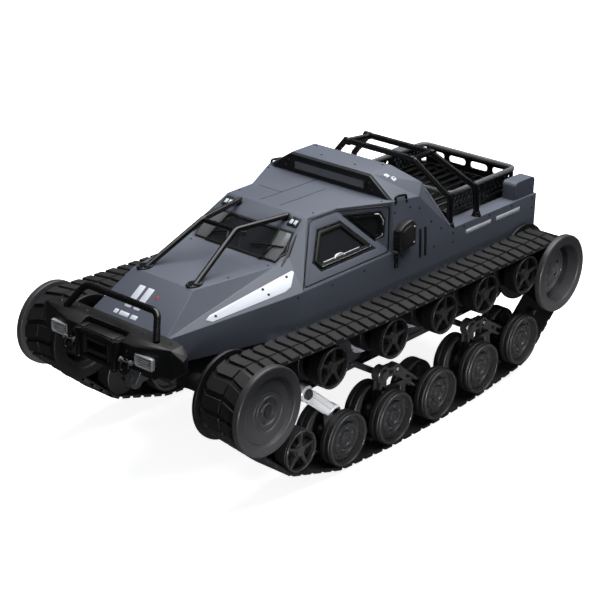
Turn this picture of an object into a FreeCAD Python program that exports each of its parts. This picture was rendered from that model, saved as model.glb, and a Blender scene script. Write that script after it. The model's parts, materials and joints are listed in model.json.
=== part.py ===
"""Radio-control tracked vehicle: hull, angular cab body, two tracks with sprung bogies, cage and rack.

Millimetres. +X is the vehicle's left side, the nose points to -Y, +Z is up. The origin is on the
ground, at the middle of the vehicle's outline.
"""
import FreeCAD, Part
import math
import os

Vector = FreeCAD.Vector
X_AXIS = Vector(1, 0, 0)
ALONG_X = FreeCAD.Rotation(Vector(0, 1, 0), 90)
STATIONS = (1, 2, 3, 4, 5)

# ---------------------------------------------------------------- driving dimensions

DIMENSIONS = {
    # front idler and rear sprocket: centres, flanges and the drum that the belt lies on
    "idler_y": -200, "idler_z": 101.4, "sprocket_y": 230, "sprocket_z": 96.1,
    "flange_radius": 39.1, "flange_face_x": 133.9, "inner_flange_x": 83, "drum_radius": 31.1,
    "groove_radius": 27.6, "groove_inner_x": 103, "groove_outer_x": 113, "drum_wall": 4,
    "idler_dish_depth": 4, "idler_web_x": 121, "sprocket_dish_x": 116, "sprocket_web_x": 111,
    # road wheels, return rollers and the small guide wheel behind the idler
    "road_radius": 25.3, "road_width": 13, "road_face_x": 130, "disc_inner_x": 88,
    "roller_radius": 19, "roller_width": 11, "roller_face_x": 126.8, "roller_z": 107.9,
    "guide_radius": 19.2, "guide_y": -153.7, "guide_z": 46.1,
    "road_y_1": -91.7, "road_y_2": -24.3, "road_y_3": 41.9, "road_y_4": 109.5, "road_y_5": 176.7,
    "road_z_1": 33.3, "road_z_2": 29.2, "road_z_3": 29.2, "road_z_4": 32.3, "road_z_5": 40.1,
    "roller_y_1": -111, "roller_y_2": -27.5, "roller_y_3": 46, "roller_y_4": 111.3, "roller_y_5": 177.7,
    # axles and their running fit
    "axle_radius": 3, "running_fit": 0.05, "hub_radius": 6, "head_radius": 4.6, "head_height": 2,
    "end_play": 0.3, "recess_depth": 3, "rim_width": 4,
    # belts
    "belt_gap": 0.3, "belt_thickness": 3.6, "belt_inner_x": 87, "belt_outer_x": 127,
    "rib_height": 3, "rib_inner_x": 105, "rib_outer_x": 111, "sag_y": -40, "sag_radius": 250,
    # suspension arms, which run between the two discs of each road wheel
    "arm_inner_x": 104.5, "arm_outer_x": 113.5, "arm_eye_radius": 7.5, "arm_bar_width": 9,
    "front_bar_width": 14, "bogie_rise": 38, "bogie_elbow_reach": 20, "bogie_elbow_drop": 1,
    "front_arm_y": -130, "front_arm_z": 86, "front_knee_y": -91.2, "front_knee_z": 54,
    # hull and electrics
    "hull_half_width": 77.8, "hull_nose_half_width": 42.5, "hull_front_y": -222, "hull_waist_y": -104,
    "hull_rear_y": 240, "hull_top_z": 127, "hull_belly_z": 62, "hull_wall": 2.5, "boss_radius": 8.5,
    "idler_boss_x": 60,
    "drive_shaft_radius": 4, "battery_y": -75, "battery_length": 120, "battery_height": 26,
    # body shell and what is on it
    "shell_wall": 2, "door_gap": 0.6, "pane_depth": 0.7, "pane_thickness": 1, "bed_half_width": 62,
    "bed_front_y": 118, "bed_rear_y": 252, "bed_floor_z": 147, "ledge_z": 160.5,
    "tube_radius": 3, "guard_tube_radius": 2.6, "rack_half_width": 57, "rack_front_y": 139,
    "rack_rear_y": 250, "rack_rail_z": 183, "rack_floor_z": 163, "rack_tube_radius": 2.4,
    "bumper_low_z": 129.5, "bumper_top_z": 155, "lamp_x": 50.2, "lamp_z": 139.5,
    "switch_travel": 4,
}

# Corners of the body's left half (x, y, z). The right half mirrors them.
BODY_CORNERS = {
    "nose": (45, -231, 147), "nose_low": (45, -231, 124), "hood": (36.5, -188, 177),
    "screen_base": (51, -102, 178), "pillar": (54.5, -89, 182.3), "screen_top": (46.6, -58.6, 209.5),
    "roof_kink": (49, -23.7, 209),
    "brow_low": (75.7, 28.4, 209), "brow_high": (47.1, 30.3, 227.7), "roof_rear": (45.9, 60.7, 228.8),
    "sail_top": (70, 77, 214), "sail_brow": (75.7, 65.6, 204.3), "sail_foot": (80, 115, 161),
    "tail": (80, 257, 160.5), "belt_front": (80, -100, 160.3), "belt_mid": (78, 27, 160.3),
    "skirt_front": (81, -110, 124), "skirt_mid": (81, 27, 124), "skirt_rear": (81, 115, 124),
    "tail_low": (80, 257, 124),
}
# Faces that reach across the body, as the corner pairs of their two cross edges.
BODY_SPANS = (
    ("nose", "nose_low"), ("nose", "hood"), ("hood", "screen_base"), ("screen_base", "screen_top"),
    ("screen_top", "roof_kink"), ("roof_kink", "brow_low"), ("brow_low", "brow_high"),
    ("brow_high", "roof_rear"), ("roof_rear", "sail_top"), ("sail_top", "sail_foot"),
    ("sail_foot", "tail"), ("tail", "tail_low"),
)
# Triangular facets of the left side.
BODY_FACETS = (
    ("nose", "belt_front", "nose_low"), ("belt_front", "skirt_front", "nose_low"),
    ("nose", "screen_base", "pillar"), ("nose", "pillar", "belt_front"), ("nose", "hood", "screen_base"),
    ("screen_base", "screen_top", "pillar"), ("belt_front", "pillar", "screen_top"),
    ("belt_front", "screen_top", "roof_kink"),
    ("belt_front", "roof_kink", "belt_mid"), ("roof_kink", "brow_low", "belt_mid"),
    ("brow_low", "brow_high", "sail_brow"), ("brow_high", "sail_top", "sail_brow"),
    ("brow_high", "roof_rear", "sail_top"), ("brow_low", "sail_brow", "belt_mid"),
    ("sail_brow", "sail_foot", "belt_mid"), ("sail_brow", "sail_top", "sail_foot"),
    ("belt_front", "belt_mid", "skirt_mid"), ("belt_front", "skirt_mid", "skirt_front"),
    ("belt_mid", "sail_foot", "skirt_rear"), ("belt_mid", "skirt_rear", "skirt_mid"),
    ("sail_foot", "tail", "tail_low"), ("sail_foot", "tail_low", "skirt_rear"),
)
SKIRT = ("nose_low", "skirt_front", "skirt_mid", "skirt_rear", "tail_low")

doc = FreeCAD.newDocument("TrackedVehicle")
sheet = doc.addObject("Spreadsheet::Sheet", "Sizes")
for corner_name, corner in BODY_CORNERS.items():
    for axis_name, coordinate in zip(("across", "along", "up"), corner):
        DIMENSIONS[f"{corner_name}_{axis_name}"] = coordinate
for row, (alias, value) in enumerate(DIMENSIONS.items(), start=1):
    sheet.set(f"A{row}", alias)
    sheet.set(f"B{row}", str(value))
    sheet.setAlias(f"B{row}", alias)
doc.recompute()

kept = []


def size(alias):
    """A driving dimension, read from the sheet."""
    return float(sheet.get(alias))


# ---------------------------------------------------------------- document helpers


def bind(obj, **expressions):
    """Bind properties to expressions; a double underscore in a name stands for a dot."""
    for path, expression in expressions.items():
        obj.setExpression(path.replace("__", "."), expression)
    return obj


def expand(text):
    """Write Sizes. before every alias of an expression."""
    words = []
    word = ""
    for letter in text + " ":
        if letter.isalnum() or letter == "_":
            word += letter
            continue
        words.append(f"Sizes.{word}" if word in DIMENSIONS else word)
        words.append(letter)
        word = ""
    return "".join(words).strip()


def keep(obj, label):
    """Give a finished sub-part its label, which names its file."""
    obj.Label = label
    kept.append(obj)
    return obj


def turned(name, radius, x_from, x_to, y, z):
    """A cylinder along X; every size is an expression of the sheet's aliases."""
    obj = doc.addObject("Part::Cylinder", name)
    obj.Placement = FreeCAD.Placement(Vector(0, 0, 0), ALONG_X)
    return bind(
        obj, Radius=expand(radius), Height=expand(f"({x_to}) - ({x_from})"),
        Placement__Base__x=expand(x_from), Placement__Base__y=expand(y), Placement__Base__z=expand(z),
    )


def block(name, x_from, x_to, y_from, y_to, z_from, z_to):
    """A box between two corners, each coordinate an expression."""
    obj = doc.addObject("Part::Box", name)
    return bind(
        obj, Length=expand(f"({x_to}) - ({x_from})"), Width=expand(f"({y_to}) - ({y_from})"),
        Height=expand(f"({z_to}) - ({z_from})"), Placement__Base__x=expand(x_from),
        Placement__Base__y=expand(y_from), Placement__Base__z=expand(z_from),
    )


def fused(name, parts):
    obj = doc.addObject("Part::MultiFuse", name)
    obj.Shapes = parts
    return obj


def cut(name, base, tool):
    obj = doc.addObject("Part::Cut", name)
    obj.Base = base
    obj.Tool = tool
    return obj


def mirrored(name, source):
    """The same piece on the vehicle's right side."""
    obj = doc.addObject("Part::Mirroring", name)
    obj.Source = source
    obj.Normal = X_AXIS
    return obj


def feature(label, shape):
    """A sub-part whose shape is computed here from the sheet's sizes."""
    obj = doc.addObject("Part::Feature", label)
    obj.Shape = shape
    return keep(obj, label)


# ---------------------------------------------------------------- shape helpers


def polygon(points):
    return Part.makePolygon(list(points) + [points[0]])


def prism(points, direction):
    """A closed outline of points, extruded along a vector."""
    return Part.Face(polygon(points)).extrude(direction)


def side_prism(outline, x_from, x_to):
    """An outline of (y, z) points, extruded along X."""
    return prism([Vector(x_from, y, z) for y, z in outline], Vector(x_to - x_from, 0, 0))


def plan_prism(outline, z_from, z_to):
    """An outline of (x, y) points, extruded along Z."""
    return prism([Vector(x, y, z_from) for x, y in outline], Vector(0, 0, z_to - z_from))


def cuboid(x_from, x_to, y_from, y_to, z_from, z_to):
    return Part.makeBox(x_to - x_from, y_to - y_from, z_to - z_from, Vector(x_from, y_from, z_from))


def rod(radius, start, end):
    """A round rod between two points."""
    axis = end - start
    return Part.makeCylinder(radius, axis.Length, start, axis)


def union(shapes):
    return shapes[0].fuse(shapes[1:]).removeSplitter()


def mirror_image(shape):
    return shape.mirror(Vector(0, 0, 0), X_AXIS)


def both_sides(shape):
    """A shape and its mirror image, kept as separate solids."""
    return Part.makeCompound([shape, mirror_image(shape)])


def tube(points, radius, bend):
    """A round tube along straight runs joined by tangent arcs."""
    points = [Vector(*point) for point in points]
    edges = []
    start = points[0]
    for before, corner, after in zip(points, points[1:], points[2:]):
        incoming = (corner - before).normalize()
        outgoing = (after - corner).normalize()
        half_turn = incoming.getAngle(outgoing) / 2
        setback = bend * math.tan(half_turn)
        arc_start = corner - incoming * setback
        arc_end = corner + outgoing * setback
        inward = (outgoing - incoming).normalize()
        middle = corner + inward * (bend / math.cos(half_turn) - bend)
        edges.append(Part.LineSegment(start, arc_start).toShape())
        edges.append(Part.Arc(arc_start, middle, arc_end).toShape())
        start = arc_end
    edges.append(Part.LineSegment(start, points[-1]).toShape())
    path = Part.Wire(edges)
    circle = Part.Wire(Part.makeCircle(radius, points[0], points[1] - points[0]))
    return path.makePipeShell([circle], True, True)


# ---------------------------------------------------------------- wheels


def wheel_on_axle(name, radius, width, face_x, y, z):
    """A pair of discs on one hub tube that spins on a fixed axle, as on the small rollers."""
    rim = f"{radius} - rim_width"
    body = fused(f"{name}_body", [
        turned(f"{name}_outer_disc", radius, f"{face_x} - {width}", face_x, y, z),
        turned(f"{name}_inner_disc", radius, "disc_inner_x", f"disc_inner_x + {width}", y, z),
        turned(f"{name}_hub", "hub_radius", "disc_inner_x", f"{face_x} - recess_depth", y, z),
    ])
    hollow = fused(f"{name}_hollow", [
        turned(f"{name}_face_recess", rim, f"{face_x} - recess_depth", face_x, y, z),
        turned(f"{name}_bore", "axle_radius + running_fit", "disc_inner_x - 1", f"{face_x} + 1", y, z),
    ])
    return cut(f"{name}_turned", body, hollow)


def road_wheel(name, y, z):
    """Two discs and the axle that joins them, which turns in the bogie arm's eye."""
    body = fused(f"{name}_body", [
        turned(f"{name}_outer_disc", "road_radius", "road_face_x - road_width", "road_face_x", y, z),
        turned(f"{name}_inner_disc", "road_radius", "disc_inner_x", "disc_inner_x + road_width", y, z),
        turned(f"{name}_outer_boss", "hub_radius", "arm_outer_x + 0.5",
               "road_face_x - road_width + 1", y, z),
        turned(f"{name}_inner_boss", "hub_radius", "disc_inner_x + road_width - 1",
               "arm_inner_x - 0.5", y, z),
        turned(f"{name}_axle", "axle_radius", "disc_inner_x", "road_face_x - recess_depth", y, z),
    ])
    recess = turned(
        f"{name}_recess", "road_radius - rim_width", "road_face_x - recess_depth", "road_face_x", y, z
    )
    hub_cap = turned(
        f"{name}_hub_cap", "hub_radius", "road_face_x - recess_depth - 1", "road_face_x - 0.5", y, z
    )
    return fused(f"{name}_turned", [cut(f"{name}_dished", body, recess), hub_cap])


def track_drum(name, web_x, y, z):
    """The wide drum that the belt wraps, with two flanges, a groove for the rib and a hollow back.

    The hollow reaches from the inner flange to the web.
    """
    body = fused(f"{name}_solid", [
        turned(f"{name}_outer_flange", "flange_radius", "belt_outer_x + end_play", "flange_face_x", y, z),
        turned(f"{name}_inner_flange", "flange_radius", "inner_flange_x", "belt_inner_x - end_play", y, z),
        turned(f"{name}_drum", "drum_radius", "inner_flange_x", "flange_face_x - 1", y, z),
    ])
    groove = cut(
        f"{name}_groove",
        turned(f"{name}_groove_outer", "drum_radius + 1", "groove_inner_x", "groove_outer_x", y, z),
        turned(f"{name}_groove_floor", "groove_radius", "groove_inner_x", "groove_outer_x", y, z),
    )
    cavity = cut(
        f"{name}_cavity",
        turned(f"{name}_cavity_outer", "groove_radius - drum_wall", "inner_flange_x", web_x, y, z),
        turned(f"{name}_cavity_hub", "hub_radius + 2", "inner_flange_x", web_x, y, z),
    )
    return cut(f"{name}_blank", body, fused(f"{name}_hollows", [groove, cavity]))


def idler():
    """The front drum: a closed dished disc, turning on a fixed axle."""
    hollow = fused("idler_hollow", [
        turned("idler_dish", "drum_radius - 2", "flange_face_x - idler_dish_depth", "flange_face_x",
               "idler_y", "idler_z"),
        turned("idler_bore", "axle_radius + running_fit", "inner_flange_x - 1", "flange_face_x + 1",
               "idler_y", "idler_z"),
    ])
    dished = cut("idler_dished", track_drum("idler", "idler_web_x", "idler_y", "idler_z"), hollow)
    hub_rim = cut(
        "idler_hub_rim",
        turned("idler_hub_ring", "hub_radius + 8", "flange_face_x - 5", "flange_face_x - 1",
               "idler_y", "idler_z"),
        turned("idler_hub_ring_hole", "hub_radius + 5", "flange_face_x - 6", "flange_face_x",
               "idler_y", "idler_z"),
    )
    return fused("idler_turned", [dished, hub_rim])


def sprocket():
    """The rear drum: an open flange ring with a deep dish, and its own drive shaft."""
    dish = turned("sprocket_dish", "drum_radius - 2.5", "sprocket_dish_x", "flange_face_x",
                  "sprocket_y", "sprocket_z")
    drum = track_drum("sprocket", "sprocket_web_x", "sprocket_y", "sprocket_z")
    dished = cut("sprocket_dished", drum, dish)
    shaft = turned("sprocket_shaft", "drive_shaft_radius", "hull_half_width - 22", "sprocket_dish_x + 3",
                   "sprocket_y", "sprocket_z")
    return fused("sprocket_turned", [dished, shaft])


def running_gear():
    """Every wheel of the left side, with its mirror image on the right."""
    wheels = {"front_idler": idler(), "drive_sprocket": sprocket()}
    wheels["guide_wheel"] = wheel_on_axle(
        "guide", "guide_radius", "roller_width", "(roller_face_x + 2)", "guide_y", "guide_z"
    )
    for station in STATIONS:
        wheels[f"road_wheel_{station}"] = road_wheel(
            f"road_{station}", f"road_y_{station}", f"road_z_{station}"
        )
        wheels[f"return_roller_{station}"] = wheel_on_axle(
            f"roller_{station}", "roller_radius", "roller_width", "roller_face_x",
            f"roller_y_{station}", "roller_z",
        )
    for label, left in wheels.items():
        keep(left, f"{label}_left")
        keep(mirrored(f"{label}_mirror", left), f"{label}_right")


# ---------------------------------------------------------------- belts


def belt_circles(offset):
    """The circles that a belt surface wraps, clockwise seen from +X; a negative radius bends outward."""
    gap = size("belt_gap") + offset
    top_z = size("roller_z") + size("roller_radius") + size("belt_gap")
    circles = [(size("idler_y"), size("idler_z"), size("drum_radius") + gap)]
    circles.append((size("sag_y"), top_z + size("sag_radius"), offset - size("sag_radius")))
    circles.append((size("sprocket_y"), size("sprocket_z"), size("drum_radius") + gap))
    for station in reversed(STATIONS):
        circles.append((size(f"road_y_{station}"), size(f"road_z_{station}"), size("road_radius") + gap))
    circles.append((size("guide_y"), size("guide_z"), size("guide_radius") + gap))
    return circles


def belt_wire(offset, x):
    """The closed outline of tangent lines and arcs around the belt's circles, in the plane at x."""
    circles = belt_circles(offset)
    tangents = []
    for (y1, z1, r1), (y2, z2, r2) in zip(circles, circles[1:] + circles[:1]):
        heading = math.atan2(z2 - z1, y2 - y1)
        normal = heading + math.acos((r1 - r2) / math.hypot(y2 - y1, z2 - z1))
        across, up = math.cos(normal), math.sin(normal)
        tangents.append((
            Vector(x, y1 + r1 * across, z1 + r1 * up), Vector(x, y2 + r2 * across, z2 + r2 * up), normal,
        ))
    edges = []
    for index, (start, end, normal) in enumerate(tangents):
        y, z, radius = circles[index]
        previous_end, previous_normal = tangents[index - 1][1:]
        turn = (previous_normal - normal + math.pi) % (2 * math.pi) - math.pi
        if (previous_end - start).Length > 0.01:
            middle_angle = previous_normal - turn / 2
            middle = Vector(x, y + radius * math.cos(middle_angle), z + radius * math.sin(middle_angle))
            edges.append(Part.Arc(previous_end, middle, start).toShape())
        edges.append(Part.LineSegment(start, end).toShape())
    return Part.Wire(edges)


def belt_ring(inner_offset, outer_offset, x_from, x_to):
    outer = Part.Face(belt_wire(outer_offset, x_from)).extrude(Vector(x_to - x_from, 0, 0))
    inner = Part.Face(belt_wire(inner_offset, x_from)).extrude(Vector(x_to - x_from, 0, 0))
    return outer.cut(inner)


def belts():
    band = belt_ring(0, size("belt_thickness"), size("belt_inner_x"), size("belt_outer_x"))
    rib = belt_ring(-size("rib_height"), 0.2, size("rib_inner_x"), size("rib_outer_x"))
    belt = union([band, rib])
    feature("track_belt_left", belt)
    feature("track_belt_right", mirror_image(belt))


# ---------------------------------------------------------------- suspension arms and axles


def bar(start, end, width):
    """A flat link between two (y, z) points, as thick as the arms."""
    direction = Vector(0, end[0] - start[0], end[1] - start[1]).normalize()
    side = Vector(0, -direction.z, direction.y) * (width / 2)
    a = Vector(size("arm_inner_x"), *start)
    b = Vector(size("arm_inner_x"), *end)
    return prism([a + side, b + side, b - side, a - side],
                 Vector(size("arm_outer_x") - size("arm_inner_x"), 0, 0))


def arm(points, links, bored):
    """Links (from, to, width) between named points, an eye at every point and a bore where a pin runs."""
    thickness = size("arm_outer_x") - size("arm_inner_x")
    solids = [bar(points[a], points[b], width) for a, b, width in links]
    for y, z in points.values():
        solids.append(Part.makeCylinder(size("arm_eye_radius"), thickness,
                                        Vector(size("arm_inner_x"), y, z), X_AXIS))
    shape = union(solids)
    for name in bored:
        y, z = points[name]
        shape = shape.cut(Part.makeCylinder(size("axle_radius") + size("running_fit"), thickness + 2,
                                            Vector(size("arm_inner_x") - 1, y, z), X_AXIS))
    return shape


def road_axle(station):
    return size(f"road_y_{station}"), size(f"road_z_{station}")


def arm_pivots():
    """The (y, z) of each arm's fixed pin."""
    pivots = {"front": (size("front_arm_y"), size("front_arm_z"))}
    for name, station in (("mid", 2), ("rear", 4)):
        y, z = road_axle(station)
        pivots[name] = (y, z + size("bogie_rise"))
    return pivots


def arms():
    pivots = arm_pivots()
    knee = (size("front_knee_y"), size("front_knee_z"))
    width = size("arm_bar_width")
    front = arm({"pivot": pivots["front"], "knee": knee, "axle": road_axle(1)},
                (("pivot", "knee", size("front_bar_width")), ("knee", "axle", width)), ("pivot", "axle"))
    shapes = {"front_arm": front}
    for name, station in (("mid", 2), ("rear", 4)):
        lead, trail = road_axle(station), road_axle(station + 1)
        pivot = pivots[name]
        elbow = (pivot[0] + size("bogie_elbow_reach"), pivot[1] - size("bogie_elbow_drop"))
        shapes[f"bogie_arm_{name}"] = arm(
            {"pivot": pivot, "lead": lead, "elbow": elbow, "trail": trail},
            (("pivot", "lead", width), ("pivot", "elbow", width), ("elbow", "trail", width)),
            ("pivot", "lead", "trail"),
        )
    for label, shape in shapes.items():
        feature(f"{label}_left", shape)
        feature(f"{label}_right", mirror_image(shape))


def headed_pin(start_x, end_x, y, z):
    """A plain axle with a round head on its outer end."""
    shank = Part.makeCylinder(size("axle_radius"), end_x - start_x + 0.1, Vector(start_x, y, z), X_AXIS)
    head = Part.makeCylinder(size("head_radius"), size("head_height"), Vector(end_x, y, z), X_AXIS)
    return shank.fuse(head).removeSplitter()


def hull_half_width_at(y):
    """Half width of the hull, which narrows from its waist to its nose."""
    if y >= size("hull_waist_y"):
        return size("hull_half_width")
    share = (y - size("hull_waist_y")) / (size("hull_front_y") - size("hull_waist_y"))
    return size("hull_half_width") + share * (size("hull_nose_half_width") - size("hull_half_width"))


def fixed_axles():
    """Axles of the idlers, guide wheels and rollers, and the pins that the arms swing on."""
    play = size("end_play")
    roller_floor = size("roller_face_x") - size("recess_depth")
    pins = [headed_pin(size("idler_boss_x"), size("flange_face_x") - size("idler_dish_depth") + play,
                       size("idler_y"), size("idler_z"))]
    pins.append(headed_pin(size("hull_half_width"), roller_floor + 2 + play,
                           size("guide_y"), size("guide_z")))
    for station in STATIONS:
        pins.append(headed_pin(size("hull_half_width"), roller_floor + play,
                               size(f"roller_y_{station}"), size("roller_z")))
    for y, z in arm_pivots().values():
        pins.append(headed_pin(size("hull_half_width"), size("arm_outer_x") + play, y, z))
    feature("axles_and_pins", Part.makeCompound(pins + [mirror_image(pin) for pin in pins]))


# ---------------------------------------------------------------- hull


def hull_solid(inset):
    """The hull's outer form, or its inside when the inset is the wall."""
    top = size("hull_top_z") + (1 if inset else 0)
    front, rear, belly = size("hull_front_y"), size("hull_rear_y"), size("hull_belly_z")
    profile = [(front, top), (front, 104), (-140, belly), (205, belly), (rear, 88), (rear, top)]
    plan = [(-size("hull_nose_half_width"), front), (size("hull_nose_half_width"), front),
            (size("hull_half_width"), size("hull_waist_y")), (size("hull_half_width"), rear),
            (-size("hull_half_width"), rear), (-size("hull_half_width"), size("hull_waist_y"))]
    side_face = Part.Face(polygon([Vector(-200, y, z) for y, z in profile]))
    plan_face = Part.Face(polygon([Vector(x, y, 0) for x, y in plan]))
    if inset:
        side_face = side_face.makeOffset2D(-inset, 2)
        plan_face = plan_face.makeOffset2D(-inset, 2)
    solid = side_face.extrude(Vector(400, 0, 0)).common(plan_face.extrude(Vector(0, 0, 300)))
    if inset:
        lid = solid.common(cuboid(-200, 200, -300, 300, top - inset - 4, top))
        lid.translate(Vector(0, 0, 3))
        solid = solid.fuse(lid).removeSplitter()
    return solid


def chassis_tub():
    """The lower hull: an open tray with bosses for the axles, guide brackets and body posts."""
    wall = size("hull_wall")
    tub = hull_solid(0).cut(hull_solid(wall))
    hull_x = size("hull_half_width")
    belly = size("hull_belly_z")
    extras = []
    for y in (-97, -18, 60, 128):
        extras.append(rod(size("boss_radius"), Vector(hull_x - 0.5, y, 86.5), Vector(hull_x + 4, y, 86.5)))
    for y, z in ((size("guide_y"), size("guide_z")), (size("front_arm_y"), size("front_arm_z"))):
        extras.append(rod(8, Vector(hull_x - 8, y, z), Vector(hull_x, y, z)))
    y, z = size("idler_y"), size("idler_z")
    extras.append(rod(8, Vector(size("hull_nose_half_width"), y, z), Vector(size("idler_boss_x"), y, z)))
    y, z = size("guide_y"), size("guide_z")
    inner_x = hull_half_width_at(-130) - 6
    extras.append(side_prism([(y - 8, z), (y + 8, z), (-124, belly + 4), (-124, 96), (-142, 96),
                              (-142, belly + 14)],
                             inner_x, hull_x))
    brackets = union([tub] + extras + [mirror_image(extra) for extra in extras])
    posts = []
    for x, y, foot, top in ((24, -160, 76, 174), (52, 135, belly + 1, 144)):
        posts.append(rod(4, Vector(x, y, foot), Vector(x, y, top)))
        posts.append(rod(4, Vector(-x, y, foot), Vector(-x, y, top)))
    shape = union([brackets] + posts)
    shaft_hole = rod(size("drive_shaft_radius") + 0.6, Vector(-100, size("sprocket_y"), size("sprocket_z")),
                     Vector(100, size("sprocket_y"), size("sprocket_z")))
    shape = shape.cut(shaft_hole)
    shape = shape.cut(cuboid(-34, 34, -80, 50, belly - 1, belly + wall + 0.5))
    shape = shape.cut(cuboid(52, 64, 60, 76, belly - 1, belly + wall + 0.5))
    feature("chassis_tub", shape)


def electrics():
    """What drives the vehicle: two gearmotors, the battery, the control board and its switch."""
    belly = size("hull_belly_z") + size("hull_wall")
    y, z = size("sprocket_y"), size("sprocket_z")
    inner_x = size("hull_half_width") - size("hull_wall") - 1
    gearbox = cuboid(inner_x - 24, inner_x, y - 52, y - 10, z - 16, z + 22)
    nose = cuboid(inner_x - 24, inner_x, y - 11, y + 6, z - 5.5, z + 22)
    bore = rod(size("drive_shaft_radius") + size("running_fit"),
               Vector(inner_x - 21, y, z), Vector(inner_x + 1, y, z))
    can = rod(17, Vector(inner_x - 66, y - 32, z - 2), Vector(inner_x - 23, y - 32, z - 2))
    feature("gearmotors", both_sides(union([gearbox, nose, can]).cut(bore)))

    battery = block("Battery", "-23", "23", "battery_y", "battery_y + battery_length",
                    "hull_belly_z + hull_wall + 2", "hull_belly_z + hull_wall + 2 + battery_height")
    keep(battery, "battery_pack")
    board = cuboid(-30, 30, 70, 140, belly + 14, belly + 15.6)
    board_parts = [cuboid(-24, -6, 78, 100, belly + 15.5, belly + 25),
                   cuboid(4, 24, 80, 128, belly + 15.5, belly + 20)]
    stands = [rod(2, Vector(x, y, belly), Vector(x, y, belly + 14.1)) for x in (-27, 27) for y in (73, 137)]
    feature("control_board", union([board] + board_parts + stands))

    hatch_gap = 0.4
    hatch = cuboid(-34 + hatch_gap, 34 - hatch_gap, -80 + hatch_gap, 50 - hatch_gap,
                   size("hull_belly_z"), belly)
    feature("battery_hatch", hatch)

    travel = size("switch_travel")
    stem = cuboid(56, 60, 62, 74 - travel, belly - size("hull_wall") - 1.5, belly + 2)
    foot = cuboid(54, 62, 61, 75 - travel, belly + 1.6, belly + 3)
    feature("power_switch", union([stem, foot]))


# ---------------------------------------------------------------- body shell


def body_corner(name):
    return Vector(size(f"{name}_across"), size(f"{name}_along"), size(f"{name}_up"))


def flip(point):
    return Vector(-point.x, point.y, point.z)


def facet_normals():
    """Outward unit normals of the faces around each corner of the left half."""
    normals = {name: [] for name in BODY_CORNERS}
    for first, second in BODY_SPANS:
        a, b = body_corner(first), body_corner(second)
        normal = (b - a).cross(flip(a) - a).normalize()
        middle = (a + b + flip(a) + flip(b)) / 4
        outward = normal if normal.dot(middle - Vector(0, middle.y * 0.8, 150)) > 0 else normal * -1
        for name in (first, second):
            normals[name].append(outward)
    for names in BODY_FACETS:
        a, b, c = (body_corner(name) for name in names)
        normal = (b - a).cross(c - a).normalize()
        outward = normal if normal.x > 0 else normal * -1
        for name in names:
            normals[name].append(outward)
    return normals


def inset_corner(point, normals, depth):
    """Move a corner so that it lies as nearly as possible at the depth below each of its faces."""
    soft = 0.02
    rows = [[soft if i == j else 0.0 for j in range(3)] for i in range(3)]
    target = [0.0, 0.0, 0.0]
    for normal in normals:
        n = (normal.x, normal.y, normal.z)
        for i in range(3):
            target[i] -= depth * n[i]
            for j in range(3):
                rows[i][j] += n[i] * n[j]
    matrix = FreeCAD.Matrix(*rows[0], 0, *rows[1], 0, *rows[2], 0, 0, 0, 0, 1)
    return point + matrix.inverse().multiply(Vector(*target))


def body_solid(depth):
    """The body's faceted form, at a depth below its surface; below the surface it runs out downward."""
    normals = facet_normals()
    corners = {name: inset_corner(body_corner(name), normals[name], depth) for name in BODY_CORNERS}
    if depth:
        for name in SKIRT:
            corners[name].z = size("skirt_mid_up") - 5
    loops = []
    for first, second in BODY_SPANS:
        a, b = corners[first], corners[second]
        loops.append([a, b, flip(b), flip(a)])
    for names in BODY_FACETS:
        facet = [corners[name] for name in names]
        loops.append(facet)
        loops.append([flip(point) for point in facet])
    skirt = [corners[name] for name in SKIRT]
    loops.append(skirt + [flip(point) for point in reversed(skirt)])
    solid = Part.Solid(Part.Shell([Part.Face(polygon(loop)) for loop in loops]))
    if solid.Volume < 0:
        solid.reverse()
    return solid


DOOR = ((-96.5, 163), (-56.5, 206.3), (-23.6, 206.6), (24.6, 205.6), (23, 162.5))
FRONT_WINDOW = ((-68.5, 168.5), (-75, 177.5), (-53.5, 199), (-22.5, 199), (8.5, 168.5))
REAR_WINDOW = ((10.5, 173.5), (-17, 202), (16.8, 201.3), (21.2, 193), (19.8, 176.5))
SCREEN = ((-48.5, -100.5), (48.5, -100.5), (52, -89.5), (45.5, -73), (-45.5, -73), (-52, -89.5))


def side_cutter(outline, amount=0.0):
    """A cutter through the left side of the body, from an outline grown by an amount."""
    face = Part.Face(polygon([Vector(0, y, z) for y, z in outline]))
    if amount:
        face = face.makeOffset2D(amount, 2)
    face.translate(Vector(20, 0, 0))
    return face.extrude(Vector(100, 0, 0))


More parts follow.
